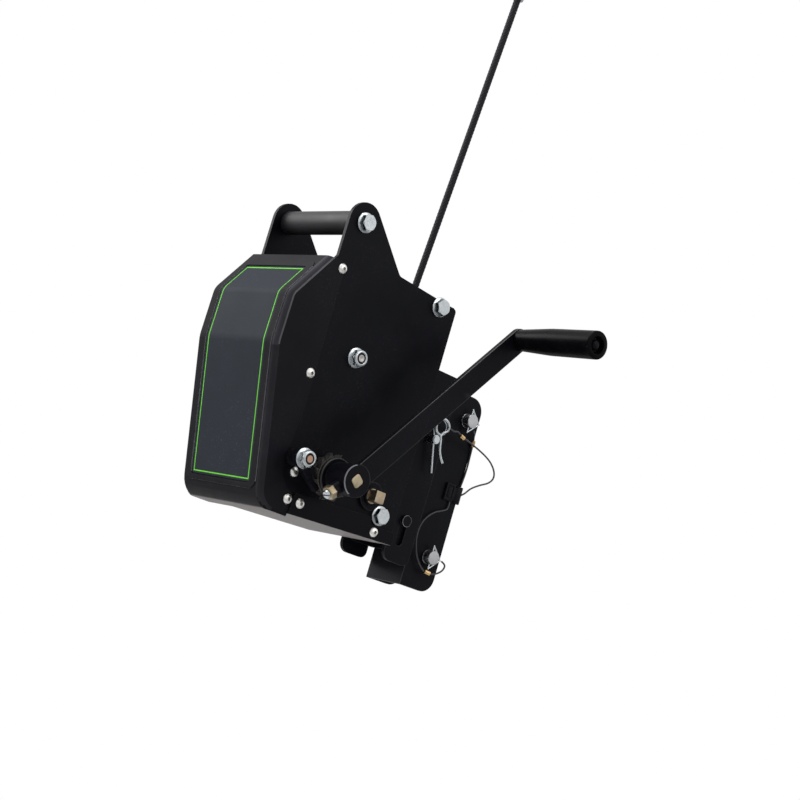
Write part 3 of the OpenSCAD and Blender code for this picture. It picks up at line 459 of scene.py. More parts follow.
rope = make_free_rope()
rope_lead = make_rope_lead()
rope_winding = make_rope_winding()
lanyards = [make_lanyard("clip_lanyard", "lanyard_upper", UPPER_ROUTE),
            make_lanyard("upper_pin_lanyard", "lanyard_clip", CLIP_ROUTE),
            make_lanyard("lower_pin_lanyard", "lanyard_lower", LOWER_ROUTE)]
spring_clip = make_spring_clip()
wound_spring = make_pawl_spring()


# ---------------------------------------------------------------- shading groups

def connect(tree, node, inputs):
    """Links a socket, or sets a plain value, at each named input."""
    for key, value in inputs.items():
        if isinstance(value, bpy.types.NodeSocket):
            tree.links.new(value, node.inputs[key])
        else:
            node.inputs[key].default_value = value


def add(tree, kind, inputs=None, **settings):
    n = tree.nodes.new(kind)
    for key, value in settings.items():
        setattr(n, key, value)
    connect(tree, n, inputs or {})
    return n


def calc(tree, work, a, b=0.0, c=0.0):
    return add(tree, "ShaderNodeMath", {0: a, 1: b, 2: c}, operation=work).outputs[0]


def times(tree, a, b):
    return calc(tree, "MULTIPLY", a, b)


def ramp(tree, value, low, high, out_low=0.0, out_high=1.0):
    n = add(tree, "ShaderNodeMapRange", {"Value": value, "From Min": low, "From Max": high,
                                         "To Min": out_low, "To Max": out_high})
    return n.outputs["Result"]


def blend_colours(tree, factor, a, b):
    """Each colour is three numbers or a socket."""
    n = tree.nodes.new("ShaderNodeMix")
    n.data_type = "RGBA"
    for key, value in (("Factor", factor), ("A", a), ("B", b)):
        kind = "VALUE" if key == "Factor" else "RGBA"
        socket = next(s for s in n.inputs if s.name == key and s.type == kind)
        if isinstance(value, bpy.types.NodeSocket):
            tree.links.new(value, socket)
        else:
            socket.default_value = value if key == "Factor" else value + (1,)
    return next(s for s in n.outputs if s.type == "RGBA")


def tint(tree, base, mask, share, colour):
    """Lays a share of a colour over the base where the mask is."""
    return blend_colours(tree, times(tree, mask, share), base, colour)


def group(name, inputs, outputs):
    tree = bpy.data.node_groups.new(name, "ShaderNodeTree")
    for title, value in inputs:
        socket = tree.interface.new_socket(title, in_out="INPUT", socket_type="NodeSocketFloat")
        socket.default_value = value
    for title in outputs:
        tree.interface.new_socket(title, in_out="OUTPUT", socket_type="NodeSocketFloat")
    return tree, add(tree, "NodeGroupInput").outputs, add(tree, "NodeGroupOutput")


def place_on(tree):
    return add(tree, "ShaderNodeTexCoord").outputs["Object"]


def split_place(tree, where):
    return add(tree, "ShaderNodeSeparateXYZ", {"Vector": where}).outputs


def noise(tree, where, scale, detail=2.0, rough=0.5):
    return add(tree, "ShaderNodeTexNoise", {"Vector": where, "Scale": scale, "Detail": detail,
                                            "Roughness": rough}).outputs["Fac"]


def stretched(tree, where, scale, turn):
    n = add(tree, "ShaderNodeMapping", {"Vector": where, "Scale": scale, "Rotation": turn})
    return n.outputs["Vector"]


def make_coat_group():
    """Powder coat or a moulding's grain: fine pimples, cloudy sheen, settled dust and thin scuffs."""
    tree, given, out = group("coat_grain", [("Grain", 900.0)], ["Height", "Cloud", "Dust", "Scuff"])
    where = place_on(tree)
    cloud = noise(tree, where, 14.0, 4.0, 0.6)
    speck = noise(tree, where, 520.0, 1.0, 0.4)
    line_a = noise(tree, stretched(tree, where, (30, 700, 16), (0.5, 0.2, 0.1)), 1.0, 1.0)
    line_b = noise(tree, stretched(tree, where, (600, 24, 40), (0.1, 0.7, 0.4)), 1.0, 1.0)
    lines = calc(tree, "MAXIMUM", ramp(tree, line_a, 0.735, 0.78), ramp(tree, line_b, 0.745, 0.79))
    connect(tree, out, {"Height": noise(tree, where, given["Grain"], 2.0, 0.6),
                        "Cloud": ramp(tree, cloud, 0.3, 0.7),
                        "Dust": times(tree, ramp(tree, speck, 0.63, 0.72), ramp(tree, cloud, 0.45, 0.7)),
                        "Scuff": times(tree, lines, ramp(tree, noise(tree, where, 22.0), 0.5, 0.62))})
    return tree


def make_plating_group():
    """Plated steel: a soft crystal bloom, cloudy stains and tiny pits."""
    tree, given, out = group("plating_bloom", [("Bloom", 420.0)], ["Height", "Bloom", "Stain"])
    where = place_on(tree)
    cells = add(tree, "ShaderNodeTexVoronoi", {"Vector": where, "Scale": given["Bloom"],
                                               "Randomness": 1.0}).outputs["Color"]
    tone = add(tree, "ShaderNodeSeparateColor", {"Color": cells}).outputs["Red"]
    cloud = noise(tree, where, 130.0, 3.0, 0.6)
    connect(tree, out, {"Height": noise(tree, where, 1800.0, 2.0, 0.7),
                        "Bloom": calc(tree, "MULTIPLY_ADD", tone, 0.35, times(tree, cloud, 0.65)),
                        "Stain": ramp(tree, noise(tree, where, 48.0, 4.0, 0.65), 0.42, 0.68)})
    return tree


def make_braid_group():
    """Strands and valleys of a braid, from the UV map of round stock: metres round it and metres along it."""
    tree, given, out = group("braid", [("Strands", 7.0), ("Girth", 0.02513), ("Pitch", 0.0044)],
                             ["Crown", "Fibre", "Fuzz"])
    uv = split_place(tree, add(tree, "ShaderNodeTexCoord").outputs["UV"])
    turn = times(tree, calc(tree, "DIVIDE", uv["X"], given["Girth"]), given["Strands"])
    along = calc(tree, "DIVIDE", uv["Y"], given["Pitch"])
    a, b = calc(tree, "ADD", turn, along), calc(tree, "SUBTRACT", turn, along)
    fa, fb = calc(tree, "FRACT", a), calc(tree, "FRACT", b)
    whole = calc(tree, "ADD", calc(tree, "FLOOR", a), calc(tree, "FLOOR", b))
    odd = calc(tree, "FLOORED_MODULO", whole, 2.0)
    over, under = (calc(tree, "MULTIPLY_ADD", calc(tree, "SUBTRACT", q, p), odd, p)
                   for p, q in ((fa, fb), (fb, fa)))
    hump = calc(tree, "SINE", times(tree, over, math.pi))
    ends = calc(tree, "SINE", times(tree, under, math.pi))
    crown = times(tree, calc(tree, "POWER", hump, 0.5), calc(tree, "MULTIPLY_ADD", ends, 0.35, 0.65))
    fibre = calc(tree, "SINE", times(tree, over, 34.0))
    connect(tree, out, {"Crown": crown, "Fibre": ramp(tree, fibre, -1.0, 1.0),
                        "Fuzz": noise(tree, place_on(tree), 1500.0, 3.0, 0.7)})
    return tree


coat_grain = make_coat_group()
plating_bloom = make_plating_group()
braid_group = make_braid_group()


# ---------------------------------------------------------------- finishes

DUST, SCUFF = (0.12, 0.12, 0.13), (0.36, 0.36, 0.39)


def new_finish(name):
    m = bpy.data.materials.new(name)
    m.use_nodes = True
    return m, m.node_tree, m.node_tree.nodes["Principled BSDF"]


def use(tree, kind, **inputs):
    return add(tree, "ShaderNodeGroup", inputs, node_tree=kind).outputs


def bump(tree, shader, height, strength, depth):
    n = add(tree, "ShaderNodeBump", {"Height": height, "Strength": strength, "Distance": depth})
    connect(tree, shader, {"Normal": n.outputs["Normal"]})


def coated(name, colour, rough, grain=900.0, depth=0.00006, specular=0.06, strength=0.3):
    """A dark coat or moulding with a fine grain; rough is its lowest and highest roughness."""
    m, tree, shader = new_finish(name)
    marks = use(tree, coat_grain, Grain=grain)
    base = blend_colours(tree, marks["Cloud"], colour, tuple(c * 1.5 + 0.002 for c in colour))
    base = tint(tree, base, marks["Dust"], 0.14, DUST)
    base = tint(tree, base, marks["Scuff"], 0.05, SCUFF)
    sheen = calc(tree, "MULTIPLY_ADD", marks["Cloud"], rough[1] - rough[0], rough[0])
    connect(tree, shader, {"Base Color": base, "Specular IOR Level": specular,
                           "Roughness": calc(tree, "MULTIPLY_ADD", marks["Dust"], 0.2, sheen)})
    bump(tree, shader, marks["Height"], strength, depth)
    return m


def moulded(name, colour, rough, specular, depth=0.00003):
    return coated(name, colour, rough, 1500.0, depth, specular)


def worn_and_highlit_edge(name, colour, metal):
    """Edges where the coat is thin, with bare metal in places, and a little lighter all along: a painted edge
    highlight.
    """
    m, tree, shader = new_finish(name)
    marks = use(tree, coat_grain, Grain=700.0)
    bare = ramp(tree, noise(tree, place_on(tree), 170.0, 4.0, 0.7), 0.7, 0.76)
    connect(tree, shader, {"Base Color": blend_colours(tree, bare, colour, metal),
                           "Metallic": times(tree, bare, 0.3), "Specular IOR Level": 0.4,
                           "Roughness": calc(tree, "MULTIPLY_ADD", marks["Cloud"], 0.12, 0.34)})
    bump(tree, shader, marks["Height"], 0.3, 0.00005)
    return m


def plated(name, dark, light, rough, stain, stain_share, strength=0.25):
    """Bare or plated metal: its bloom runs from dark to light and from the first roughness to the second."""
    m, tree, shader = new_finish(name)
    marks = use(tree, plating_bloom)
    base = tint(tree, blend_colours(tree, marks["Bloom"], dark, light), marks["Stain"], stain_share, stain)
    connect(tree, shader, {"Base Color": base, "Metallic": 1.0,
                           "Roughness": ramp(tree, marks["Bloom"], 0.2, 0.8, *rough)})
    bump(tree, shader, marks["Height"], strength, 0.00003)
    return m


def make_yellow_zinc():
    """Yellow passivated zinc: gold with green and rose clouds."""
    m, tree, shader = new_finish("yellow_zinc_plate")
    marks = use(tree, plating_bloom, Bloom=300.0)
    clouds = noise(tree, place_on(tree), 95.0)
    base = blend_colours(tree, ramp(tree, clouds, 0.35, 0.6), (0.42, 0.33, 0.26), (0.36, 0.32, 0.2))
    base = blend_colours(tree, ramp(tree, clouds, 0.58, 0.7), base, (0.5, 0.34, 0.29))
    base = tint(tree, base, marks["Stain"], 0.5, (0.24, 0.19, 0.09))
    connect(tree, shader, {"Base Color": base, "Metallic": 1.0,
                           "Roughness": ramp(tree, marks["Bloom"], 0.2, 0.8, 0.3, 0.48)})
    bump(tree, shader, marks["Height"], 0.3, 0.00004)
    return m


def make_ratchet_steel():
    """Cast and ground steel, lighter and rougher where brake dust lies."""
    m, tree, shader = new_finish("rough_ratchet_steel")
    where = place_on(tree)
    dust = ramp(tree, noise(tree, where, 700.0, 3.0, 0.8), 0.46, 0.66)
    base = blend_colours(tree, dust, (0.022, 0.021, 0.021), (0.14, 0.131, 0.126))
    connect(tree, shader, {"Base Color": base, "Roughness": ramp(tree, dust, 0.0, 1.0, 0.5, 0.85),
                           "Specular IOR Level": 0.35})
    bump(tree, shader, noise(tree, where, 420.0, 5.0, 0.75), 0.8, 0.0004)
    return m


def make_stud_steel():
    """Black oiled steel whose cut end, at the nut, is bare and copper coloured."""
    m, tree, shader = new_finish("cut_stud_end")
    marks = use(tree, plating_bloom, Bloom=500.0)
    end = ramp(tree, split_place(tree, place_on(tree))["X"], 0.0955, 0.0962)
    bare = blend_colours(tree, marks["Bloom"], (0.42, 0.24, 0.16), (0.6, 0.38, 0.27))
    connect(tree, shader, {"Base Color": blend_colours(tree, end, (0.012, 0.012, 0.013), bare),
                           "Metallic": times(tree, end, 0.85), "Specular IOR Level": 0.3,
                           "Roughness": ramp(tree, marks["Bloom"], 0.2, 0.8, 0.4, 0.6)})
    bump(tree, shader, marks["Height"], 0.4, 0.00008)
    return m


def make_pan_coat():
    """Thin dark coat on the pan, lighter and streaked where it is seen at a shallow angle: a painted reflection
    of the floor.
    """
    m, tree, shader = new_finish("thin_pan_coat")
    marks = use(tree, coat_grain, Grain=300.0)
    streaks = noise(tree, stretched(tree, place_on(tree), (260, 9, 9), (0, 0, 0.12)), 1.0, 3.0, 0.6)
    shallow = ramp(tree, add(tree, "ShaderNodeLayerWeight", {"Blend": 0.5}).outputs["Facing"], 0.72, 0.9)
    grazing_reflection = blend_colours(tree, ramp(tree, streaks, 0.3, 0.7), (0.17, 0.15, 0.15), (0.26, 0.235, 0.23))
    connect(tree, shader, {"Base Color": blend_colours(tree, shallow, (0.0048, 0.0048, 0.0064), grazing_reflection),
                           "Roughness": ramp(tree, streaks, 0.3, 0.7, 0.3, 0.42), "Specular IOR Level": 0.06})
    bump(tree, shader, marks["Height"], 0.12, 0.00002)
    return m


LINE_X, LINE_Z, LABEL_MID_Z = 0.0479, 0.1115, 0.1204  # the label's green line and middle, in metres


def make_label_face():
    """Smooth slate sheet with one thin green line near its edge."""
    m, tree, shader = new_finish("slate_label_face")
    place = split_place(tree, place_on(tree))
    height = calc(tree, "SUBTRACT", place["Z"], LABEL_MID_Z)
    off_x = calc(tree, "SUBTRACT", calc(tree, "ABSOLUTE", place["X"]), LINE_X)
    off_z = calc(tree, "SUBTRACT", calc(tree, "ABSOLUTE", height), LINE_Z)
    line = ramp(tree, calc(tree, "ABSOLUTE", calc(tree, "MAXIMUM", off_x, off_z)), 0.00052, 0.00072, 1.0, 0.0)
    marks = use(tree, coat_grain, Grain=1600.0)
    face = blend_colours(tree, marks["Cloud"], (0.0205, 0.0245, 0.0315), (0.0255, 0.0305, 0.0385))
    face = tint(tree, face, marks["Dust"], 0.12, (0.22, 0.24, 0.26))
    connect(tree, shader, {"Base Color": blend_colours(tree, line, face, (0.16, 0.62, 0.05)),
                           "Roughness": calc(tree, "MULTIPLY_ADD", marks["Cloud"], 0.1, 0.52),
                           "Specular IOR Level": 0.04})
    raised = calc(tree, "MULTIPLY_ADD", line, 0.6, times(tree, marks["Height"], 0.25))
    bump(tree, shader, raised, 0.3, 0.00006)
    return m


def make_braided_fibre():
    m, tree, shader = new_finish("braided_fibre")
    marks = use(tree, braid_group)
    # Darker in the braid's valleys than on its crowns: painted shade in the creases; the fibre lines are the
    # strands' own.
    base = blend_colours(tree, marks["Crown"], (0.0025, 0.0025, 0.0035), (0.026, 0.026, 0.031))
    connect(tree, shader, {"Base Color": tint(tree, base, marks["Fibre"], 0.35, (0.07, 0.07, 0.078)),
                           "Roughness": ramp(tree, marks["Fuzz"], 0.3, 0.7, 0.5, 0.75),
                           "Specular IOR Level": 0.08})
    height = calc(tree, "ADD", marks["Crown"], times(tree, marks["Fibre"], 0.2))
    bump(tree, shader, calc(tree, "MULTIPLY_ADD", marks["Fuzz"], 0.15, height), 0.6, 0.0003)
    return m


def make_pressed_fibre():
    m, tree, shader = new_finish("pressed_fibre")
    flecks = noise(tree, place_on(tree), 900.0, 4.0, 0.8)
    base = blend_colours(tree, ramp(tree, flecks, 0.4, 0.65), (0.05, 0.04, 0.034), (0.16, 0.13, 0.1))
    connect(tree, shader, {"Base Color": base, "Roughness": 0.85})
    bump(tree, shader, flecks, 0.6, 0.0002)
    return m


black_coat = coated("satin_black_coat", (0.0042, 0.0044, 0.0066), (0.34, 0.44), strength=0.2)
# Worn edges with bare metal in places, lighter all along as a painted edge highlight.
edge_wear_and_highlight = worn_and_highlit_edge("coat_on_edges_worn_and_highlit", (0.02, 0.019, 0.018), (0.3, 0.28, 0.25))
moulding = moulded("black_moulding", (0.0062, 0.0062, 0.0088), (0.36, 0.46), 0.07, 0.00004)
# A lighter, glossier copy of the moulding for the pan's forward-facing end: painted light.
pan_front_painted_light = moulded("pan_front_face_painted_light", (0.012, 0.012, 0.014), (0.28, 0.34), 0.25)
# Lighter copies of the cover's one black moulding, chosen by face: painted light on its front faces, brighter on
# the upper slope and the rounded near side, weaker on the lower side.
cover_front_painted_light = moulded("cover_front_face_painted_light", (0.0125, 0.012, 0.0135), (0.48, 0.58), 0.02)
cover_slope_painted_light = moulded("cover_upper_slope_painted_light", (0.0175, 0.017, 0.019), (0.48, 0.58), 0.02)
cover_round_painted_light = moulded("cover_rounded_side_painted_light", (0.044, 0.044, 0.05), (0.42, 0.52), 0.03)
cover_low_painted_light = moulded("cover_lower_side_painted_light", (0.026, 0.026, 0.03), (0.45, 0.55), 0.02)
# A lighter, glossier copy of the moulding on the cover's bevels and the thin strip at its side corner: painted
# highlight lines.
cover_edge_painted_highlight = moulded("cover_bright_edge_painted_highlight", (0.075, 0.075, 0.082), (0.3, 0.36), 0.3)
# A much lighter copy of the moulding: painted glints on the cover's step, painted light on its shaded pocket
# wall, and painted glints on the hub's rim and the hang stud's edges.
painted_glint = moulded("painted_step_and_rim_highlight", (0.22, 0.22, 0.24), (0.3, 0.36), 0.3)
wire_coat = moulded("smooth_wire_coat", (0.02, 0.02, 0.023), (0.3, 0.4), 0.5, 0.00002)
# Dark nylon for the nuts' locking rings, also laid on rod ends and the pawl stud's chamfer as painted shade.
nylon_ring_and_painted_shade = moulded("locking_ring_and_painted_shade", (0.012, 0.013, 0.017), (0.4, 0.5), 0.2, 0.00002)
# The pan's coat, with a painted grazing reflection; also laid on the cover's underside.
pan_reflection_coat = make_pan_coat()
handle_coat = coated("matt_handle_coat", (0.011, 0.011, 0.0125), (0.5, 0.62), 620.0, 0.0001, 0.22, 0.6)
grip_moulding = coated("satin_grip", (0.0016, 0.0016, 0.0022), (0.28, 0.36), 1300.0, 0.00004, 0.03)
label_face = make_label_face()
# A darker steel for the screws' hex sockets: painted shade in the recess.
socket_shade_finish = plated("hex_socket_painted_shade", (0.2, 0.2, 0.2), (0.36, 0.36, 0.35), (0.35, 0.5),
                      (0.14, 0.14, 0.14), 0.3)
screw_zinc = plated("warm_screw_zinc", (0.72, 0.7, 0.66), (0.95, 0.94, 0.9), (0.3, 0.42),
                    (0.6, 0.58, 0.53), 0.3)
bright_zinc = plated("bright_zinc_plate", (0.4, 0.43, 0.45), (0.58, 0.61, 0.63), (0.2, 0.3),
                     (0.33, 0.35, 0.36), 0.35, 0.06)
# A dim copy of the zinc for the hexagon flats that face front and down: painted shade.
shaded_zinc_flats = plated("hexagon_flats_painted_shade", (0.05, 0.062, 0.066), (0.14, 0.16, 0.165), (0.25, 0.4),
                    (0.04, 0.05, 0.05), 0.3, 0.06)
pin_steel = plated("brushed_pin_steel", (0.34, 0.35, 0.36), (0.5, 0.51, 0.52), (0.26, 0.38),
                   (0.28, 0.28, 0.28), 0.3, 0.06)
plain_steel = plated("oiled_steel", (0.25, 0.25, 0.26), (0.42, 0.42, 0.43), (0.3, 0.45),
                     (0.16, 0.15, 0.14), 0.5)
cut_end = plated("cut_rod_end", (0.42, 0.4, 0.38), (0.6, 0.58, 0.56), (0.4, 0.55), (0.25, 0.22, 0.2), 0.5)
bronze = plated("sintered_bronze", (0.4, 0.27, 0.12), (0.58, 0.42, 0.2), (0.4, 0.55), (0.2, 0.14, 0.08), 0.5)
ferrule_brass = plated("pressed_brass", (0.5, 0.33, 0.14), (0.78, 0.56, 0.28), (0.24, 0.4),
                       (0.3, 0.19, 0.08), 0.35)
yellow_zinc = make_yellow_zinc()
copper_end = make_stud_steel()
ratchet_steel = make_ratchet_steel()
fibre = make_braided_fibre()
pressed_fibre = make_pressed_fibre()

FINISH = {"black_coat": black_coat, "dark_steel": ratchet_steel, "black_moulding": moulding,
          "slate_label": label_face, "bright_zinc": bright_zinc, "plain_steel": plain_steel,
          "yellow_zinc": yellow_zinc, "copper_end": copper_end, "bronze": bronze, "ferrule_brass": ferrule_brass,
          "friction_lining": pressed_fibre, "black_grip": grip_moulding, "black_rope": fibre,
          "coated_wire": wire_coat}
SPECIAL = {"handle_tube": handle_coat, "bottom_pan": pan_reflection_coat, "pawl": black_coat}

for piece in (rope, rope_lead, rope_winding):
    dress(piece, fibre)
for piece in lanyards:
    dress(piece, wire_coat)
dress(spring_clip, bright_zinc)
dress(wound_spring, black_coat)


# ---------------------------------------------------------------- plates and mouldings with eased edges

def eased_copy(node, width, edge=None, angle=30, raised=0.0):
    """The node's own shape with its edges broken where they are sharper than an angle; width in millimetres.
    A raised copy's front stands out by that many metres."""
    piece = new_object(node + "_eased", frame["nodes"][node].data.copy())
    only(piece)
    if piece.data.has_custom_normals:
        bpy.ops.mesh.customdata_custom_splitnormals_clear()
    open_mesh()
    bpy.ops.mesh.remove_doubles(threshold=3e-6)
    bpy.ops.mesh.dissolve_limited(angle_limit=math.radians(0.4))
    close_mesh()
    if raised:
        raise_face(piece, raised)
    body = SPECIAL.get(node, FINISH[slot_of[node]])
    dress(piece, body, edge or body)
    for poly in piece.data.polygons:
        poly.material_index = 0
    break_edges(piece, width / 1000, 2, angle, material=1, use_clamp_overlap=True)
    smooth_by_angle(piece, 40)
    modify(piece, "WEIGHTED_NORMAL", keep_sharp=True, weight=50 if raised else 100)
    return carry(piece, node)


# The cover's front part lies beyond FRONT_Y, its rounded sides run from CORNER_X to SIDE_X, where its flat
# sides start, and its lower side reaches up to LOW_Z, all in metres.
FRONT_Y, CORNER_X, SIDE_X, LOW_Z = -0.234, 0.0621, 0.0682, 0.142


def make_cover():
    """The moulded cover: painted light on its front faces, upper slope and rounded sides, painted highlights on
    its edge lines, step and shaded pocket wall, and a painted reflection underneath.
    """
    cover = eased_copy("front_cover", 0.5, cover_edge_painted_highlight, angle=40)
    for finish, where in (
            (cover_front_painted_light,
             lambda c, n: n.y < -0.25 and c.y < FRONT_Y and abs(c.x) < SIDE_X and abs(n.x) < 0.93),
            (cover_slope_painted_light,
             lambda c, n: n.y < -0.25 and n.z > 0.3 and abs(c.x) < SIDE_X and abs(n.x) < 0.9),
            (cover_round_painted_light,
             lambda c, n: c.y < FRONT_Y and CORNER_X < c.x < SIDE_X and 0.02 < n.x < 0.97),
            (cover_edge_painted_highlight,
             lambda c, n: c.y < FRONT_Y and abs(c.x) > SIDE_X and 0.9 < abs(n.x) < 0.9999),
            (cover_low_painted_light,
             lambda c, n: c.y < FRONT_Y and c.z < LOW_Z and abs(c.x) > CORNER_X and 0.02 < n.x < 0.9999),
            (pan_reflection_coat,
             lambda c, n: n.z < -0.6 and c.z < 0.02),
            (painted_glint,
             lambda c, n: c.y < FRONT_Y and (0.0608 < c.x < 0.0622 and n.x > 0.15
                                             or -0.0528 < c.x < -0.0518 and n.x > 0.2))):
        paint(cover, finish, where)


def off_drive_axis(c):
    return math.hypot(c.y - DRIVE[0] / 1000, c.z - DRIVE[1] / 1000)


# The frame pieces' bevels take the worn edge finish, which is also a painted edge highlight.
frame_piece = {}
for node, width in (("near_plate", 0.45), ("far_plate", 0.45), ("winch_adapter", 0.5), ("leg_saddle", 0.5),
                    ("saddle_tongue", 0.5), ("bottom_pan", 0.35), ("crank_arm", 0.7), ("crank_hub", 0.8),
                    ("brake_carrier", 0.4), ("pressure_disc", 0.5), ("shaft_bushes", 0.4),
                    ("top_guard", 0.3)):
    frame_piece[node] = eased_copy(node, width, edge_wear_and_highlight)
# The hub's end chamfer: plain coat, with a painted highlight arc only on the side that faces the lamps.
paint(frame_piece["crank_hub"], black_coat, lambda c, n: c.x > 0.124 and 0.1 < n.x < 0.98)
paint(frame_piece["crank_hub"], painted_glint,
      lambda c, n: c.x > 0.1255 and 0.2 < n.x < 0.96 and n.y < -0.25 and off_drive_axis(c) > 0.015)
# The pressure disc's rim takes the lighter edge finish: a painted highlight.
paint(frame_piece["pressure_disc"], edge_wear_and_highlight, lambda c, n: 0.3 < n.x < 0.96)
# The pan's forward-facing end face takes the lighter copy: painted light.
paint(frame_piece["bottom_pan"], pan_front_painted_light, lambda c, n: n.y < -0.7 and c.y < -0.2)
make_cover()
eased_copy("label_panel", 0.15, angle=40, raised=0.0023)
# Eased copies; the hang stud's edges take the painted glint.
for node, width in (("ratchet_wheel", 0.3), ("pawl", 0.4), ("hang_stud", 0.5), ("lock_pin", 0.35),
                    ("rope_socket", 0.4), ("snap_hook", 1.4), ("hook_gate", 0.7), ("hook_swivel", 0.2),
                    ("handle_tube", 0.4), ("drum_gear", 0.25), ("drive_gear", 0.25), ("drive_pinion", 0.25),
                    ("second_gear", 0.25), ("drum", 0.4), ("lanyard_ferrules", 0.25)):
    eased_copy(node, width, painted_glint if node == "hang_stud" else None)


# ---------------------------------------------------------------- flanged bolts, lock nuts and screws

PLATE_FACE = 66.5  # the side plates' outer faces, from the middle, in millimetres
BUTTON_R, SCREW_R, ROD_R = 0.0055, 0.003, 0.00499
HEX, HEX_CHAMFER, HEX_LOW = 0.016, 0.0011, 0.0018
# Each row of domed screws: shank length, x of the seat, the sides it is on, and its places.
BUTTONS = [(10, 68.5, (1, -1), COVER_SCREWS), (12.3, 70.8, (1, -1), PAN_SCREWS),
           (8, PLATE_FACE, (1,), STOP_SCREW)]


def hex_block(name, width, height, chamfer, low):
    """A hexagon with its corners turned off at the top."""
    corner, top = width / math.sqrt(3), low + height
    hexagon = lathe(name, [(corner, low), (corner, top)], 6)
    cone = lathe("turning_cone", [(corner * 1.2, low - 0.001), (corner * 1.2, top - chamfer * 1.6),
                                  (corner, top - chamfer), (width / 2 * 0.985, top)], 64)
    cut(hexagon, cone, "INTERSECT")
    return hexagon


def flange(name):
    return lathe(name, [(0.0104, 0.0), (0.0109, 0.0004), (0.0109, 0.0012), (0.0106, 0.0016),
                        (0.0088, 0.0021), (0.0079, 0.0024)], 56)


def make_bolt_head():
    head = hex_block("bolt_hexagon", HEX, 0.0062, HEX_CHAMFER, HEX_LOW)
    bolt = join("bolt_head", [head, flange("bolt_flange")])
    dress(bolt, bright_zinc)
    smooth_by_angle(bolt, 32)
    return bolt


def make_lock_nut():
    """Hexagon on a flange, with a round rolled collar that holds a dark locking ring."""
    body = hex_block("nut_hexagon", HEX, 0.0060, HEX_CHAMFER, HEX_LOW)
    collar = lathe("nut_collar", [(0.0074, 0.0070), (0.0082, 0.0074), (0.0086, 0.0081), (0.0087, 0.0089),
                                  (0.0084, 0.0096), (0.0078, 0.0101), (0.0070, 0.0104), (0.0062, 0.0103),
                                  (0.0057, 0.0098), (0.0055, 0.0091), (0.00505, 0.0091),
                                  (0.00505, 0.0086)], 64)
    ring = lathe("nut_ring", [(0.00555, 0.0088), (0.00555, 0.0093), (0.0053, 0.0094), (0.0051, 0.0094),
                              (0.00502, 0.0092), (0.00502, 0.0088)], 56)
    flat = flange("nut_flange")
    for part in (body, collar, flat):
        dress(part, bright_zinc)
    dress(ring, nylon_ring_and_painted_shade)
    nut = join("lock_nut", [body, flat, collar, ring])
    smooth_by_angle(nut, 32)
    return nut


def make_button(grip):
    """Domed screw with a hexagon socket; grip is the length of its shank in millimetres."""
    angles = [math.radians(7 + 10 * i) for i in range(8)]
    dome = lathe("button_dome", [(BUTTON_R * 0.97, 0.0)]
                 + [(BUTTON_R * math.cos(a), 0.0032 * math.sin(a)) for a in angles])
    socket = lathe("socket", [(0.0021, 0.0017), (0.0021, 0.005)], 6)
    dress(dome, screw_zinc)
    # The socket's faces take the darker steel: painted shade.
    dress(socket, socket_shade_finish)
    cut(dome, socket, material_mode="TRANSFER")
    shank = lathe("screw_shank", [(SCREW_R, -grip / 1000), (SCREW_R, 0.0004)], 24)
    dress(shank, screw_zinc)
    screw = join("button_screw", [dome, shank])
    smooth_by_angle(screw, 30)
    return screw


def make_button_screws():
    screws = []
    for grip, x, sides, spots in BUTTONS:
        model = make_button(grip)
        for i, (y, z) in enumerate(spots):
            screws += [placed_copy(model, across(side * x, y, z, 0.4 + 0.7 * i, side < 0))
                       for side in sides]
        put_away(model)
    carry(join("domed_screws", screws), "button_screws")


def make_thread_end(length):
    """The end of a threaded rod, up to its length in metres: ridges, a broken edge and a shallow centre; the
    ridges and edge are painted dark as shade.
    """
    pitch, root_r = 0.00125, 0.00445
    steps = [(0.0047, 0.006)]
    z = 0.0078
    while z < length - 0.0011:
        steps += [(0.00498, z), (0.00498, z + 0.0002), (root_r, z + 0.0007)]
        z += pitch
    steps += [(0.0048, length - 0.0010), (0.0037, length), (0.0014, length), (0.0008, length - 0.0003)]
    end = lathe("thread_end", steps, 40)
    dress(end, cut_end)
    # The ridges and broken edge take the dark nylon: painted shade.
    paint(end, nylon_ring_and_painted_shade, lambda c, n: c.z < length - 0.0002 and n.z < 0.99)
    smooth_by_angle(end, 30)
    return end


def placed_rod(name, steps, place, finish, sides=40):
    rod = lathe(name, steps, sides)
    dress(rod, finish)
    settle(rod, place)
    return rod


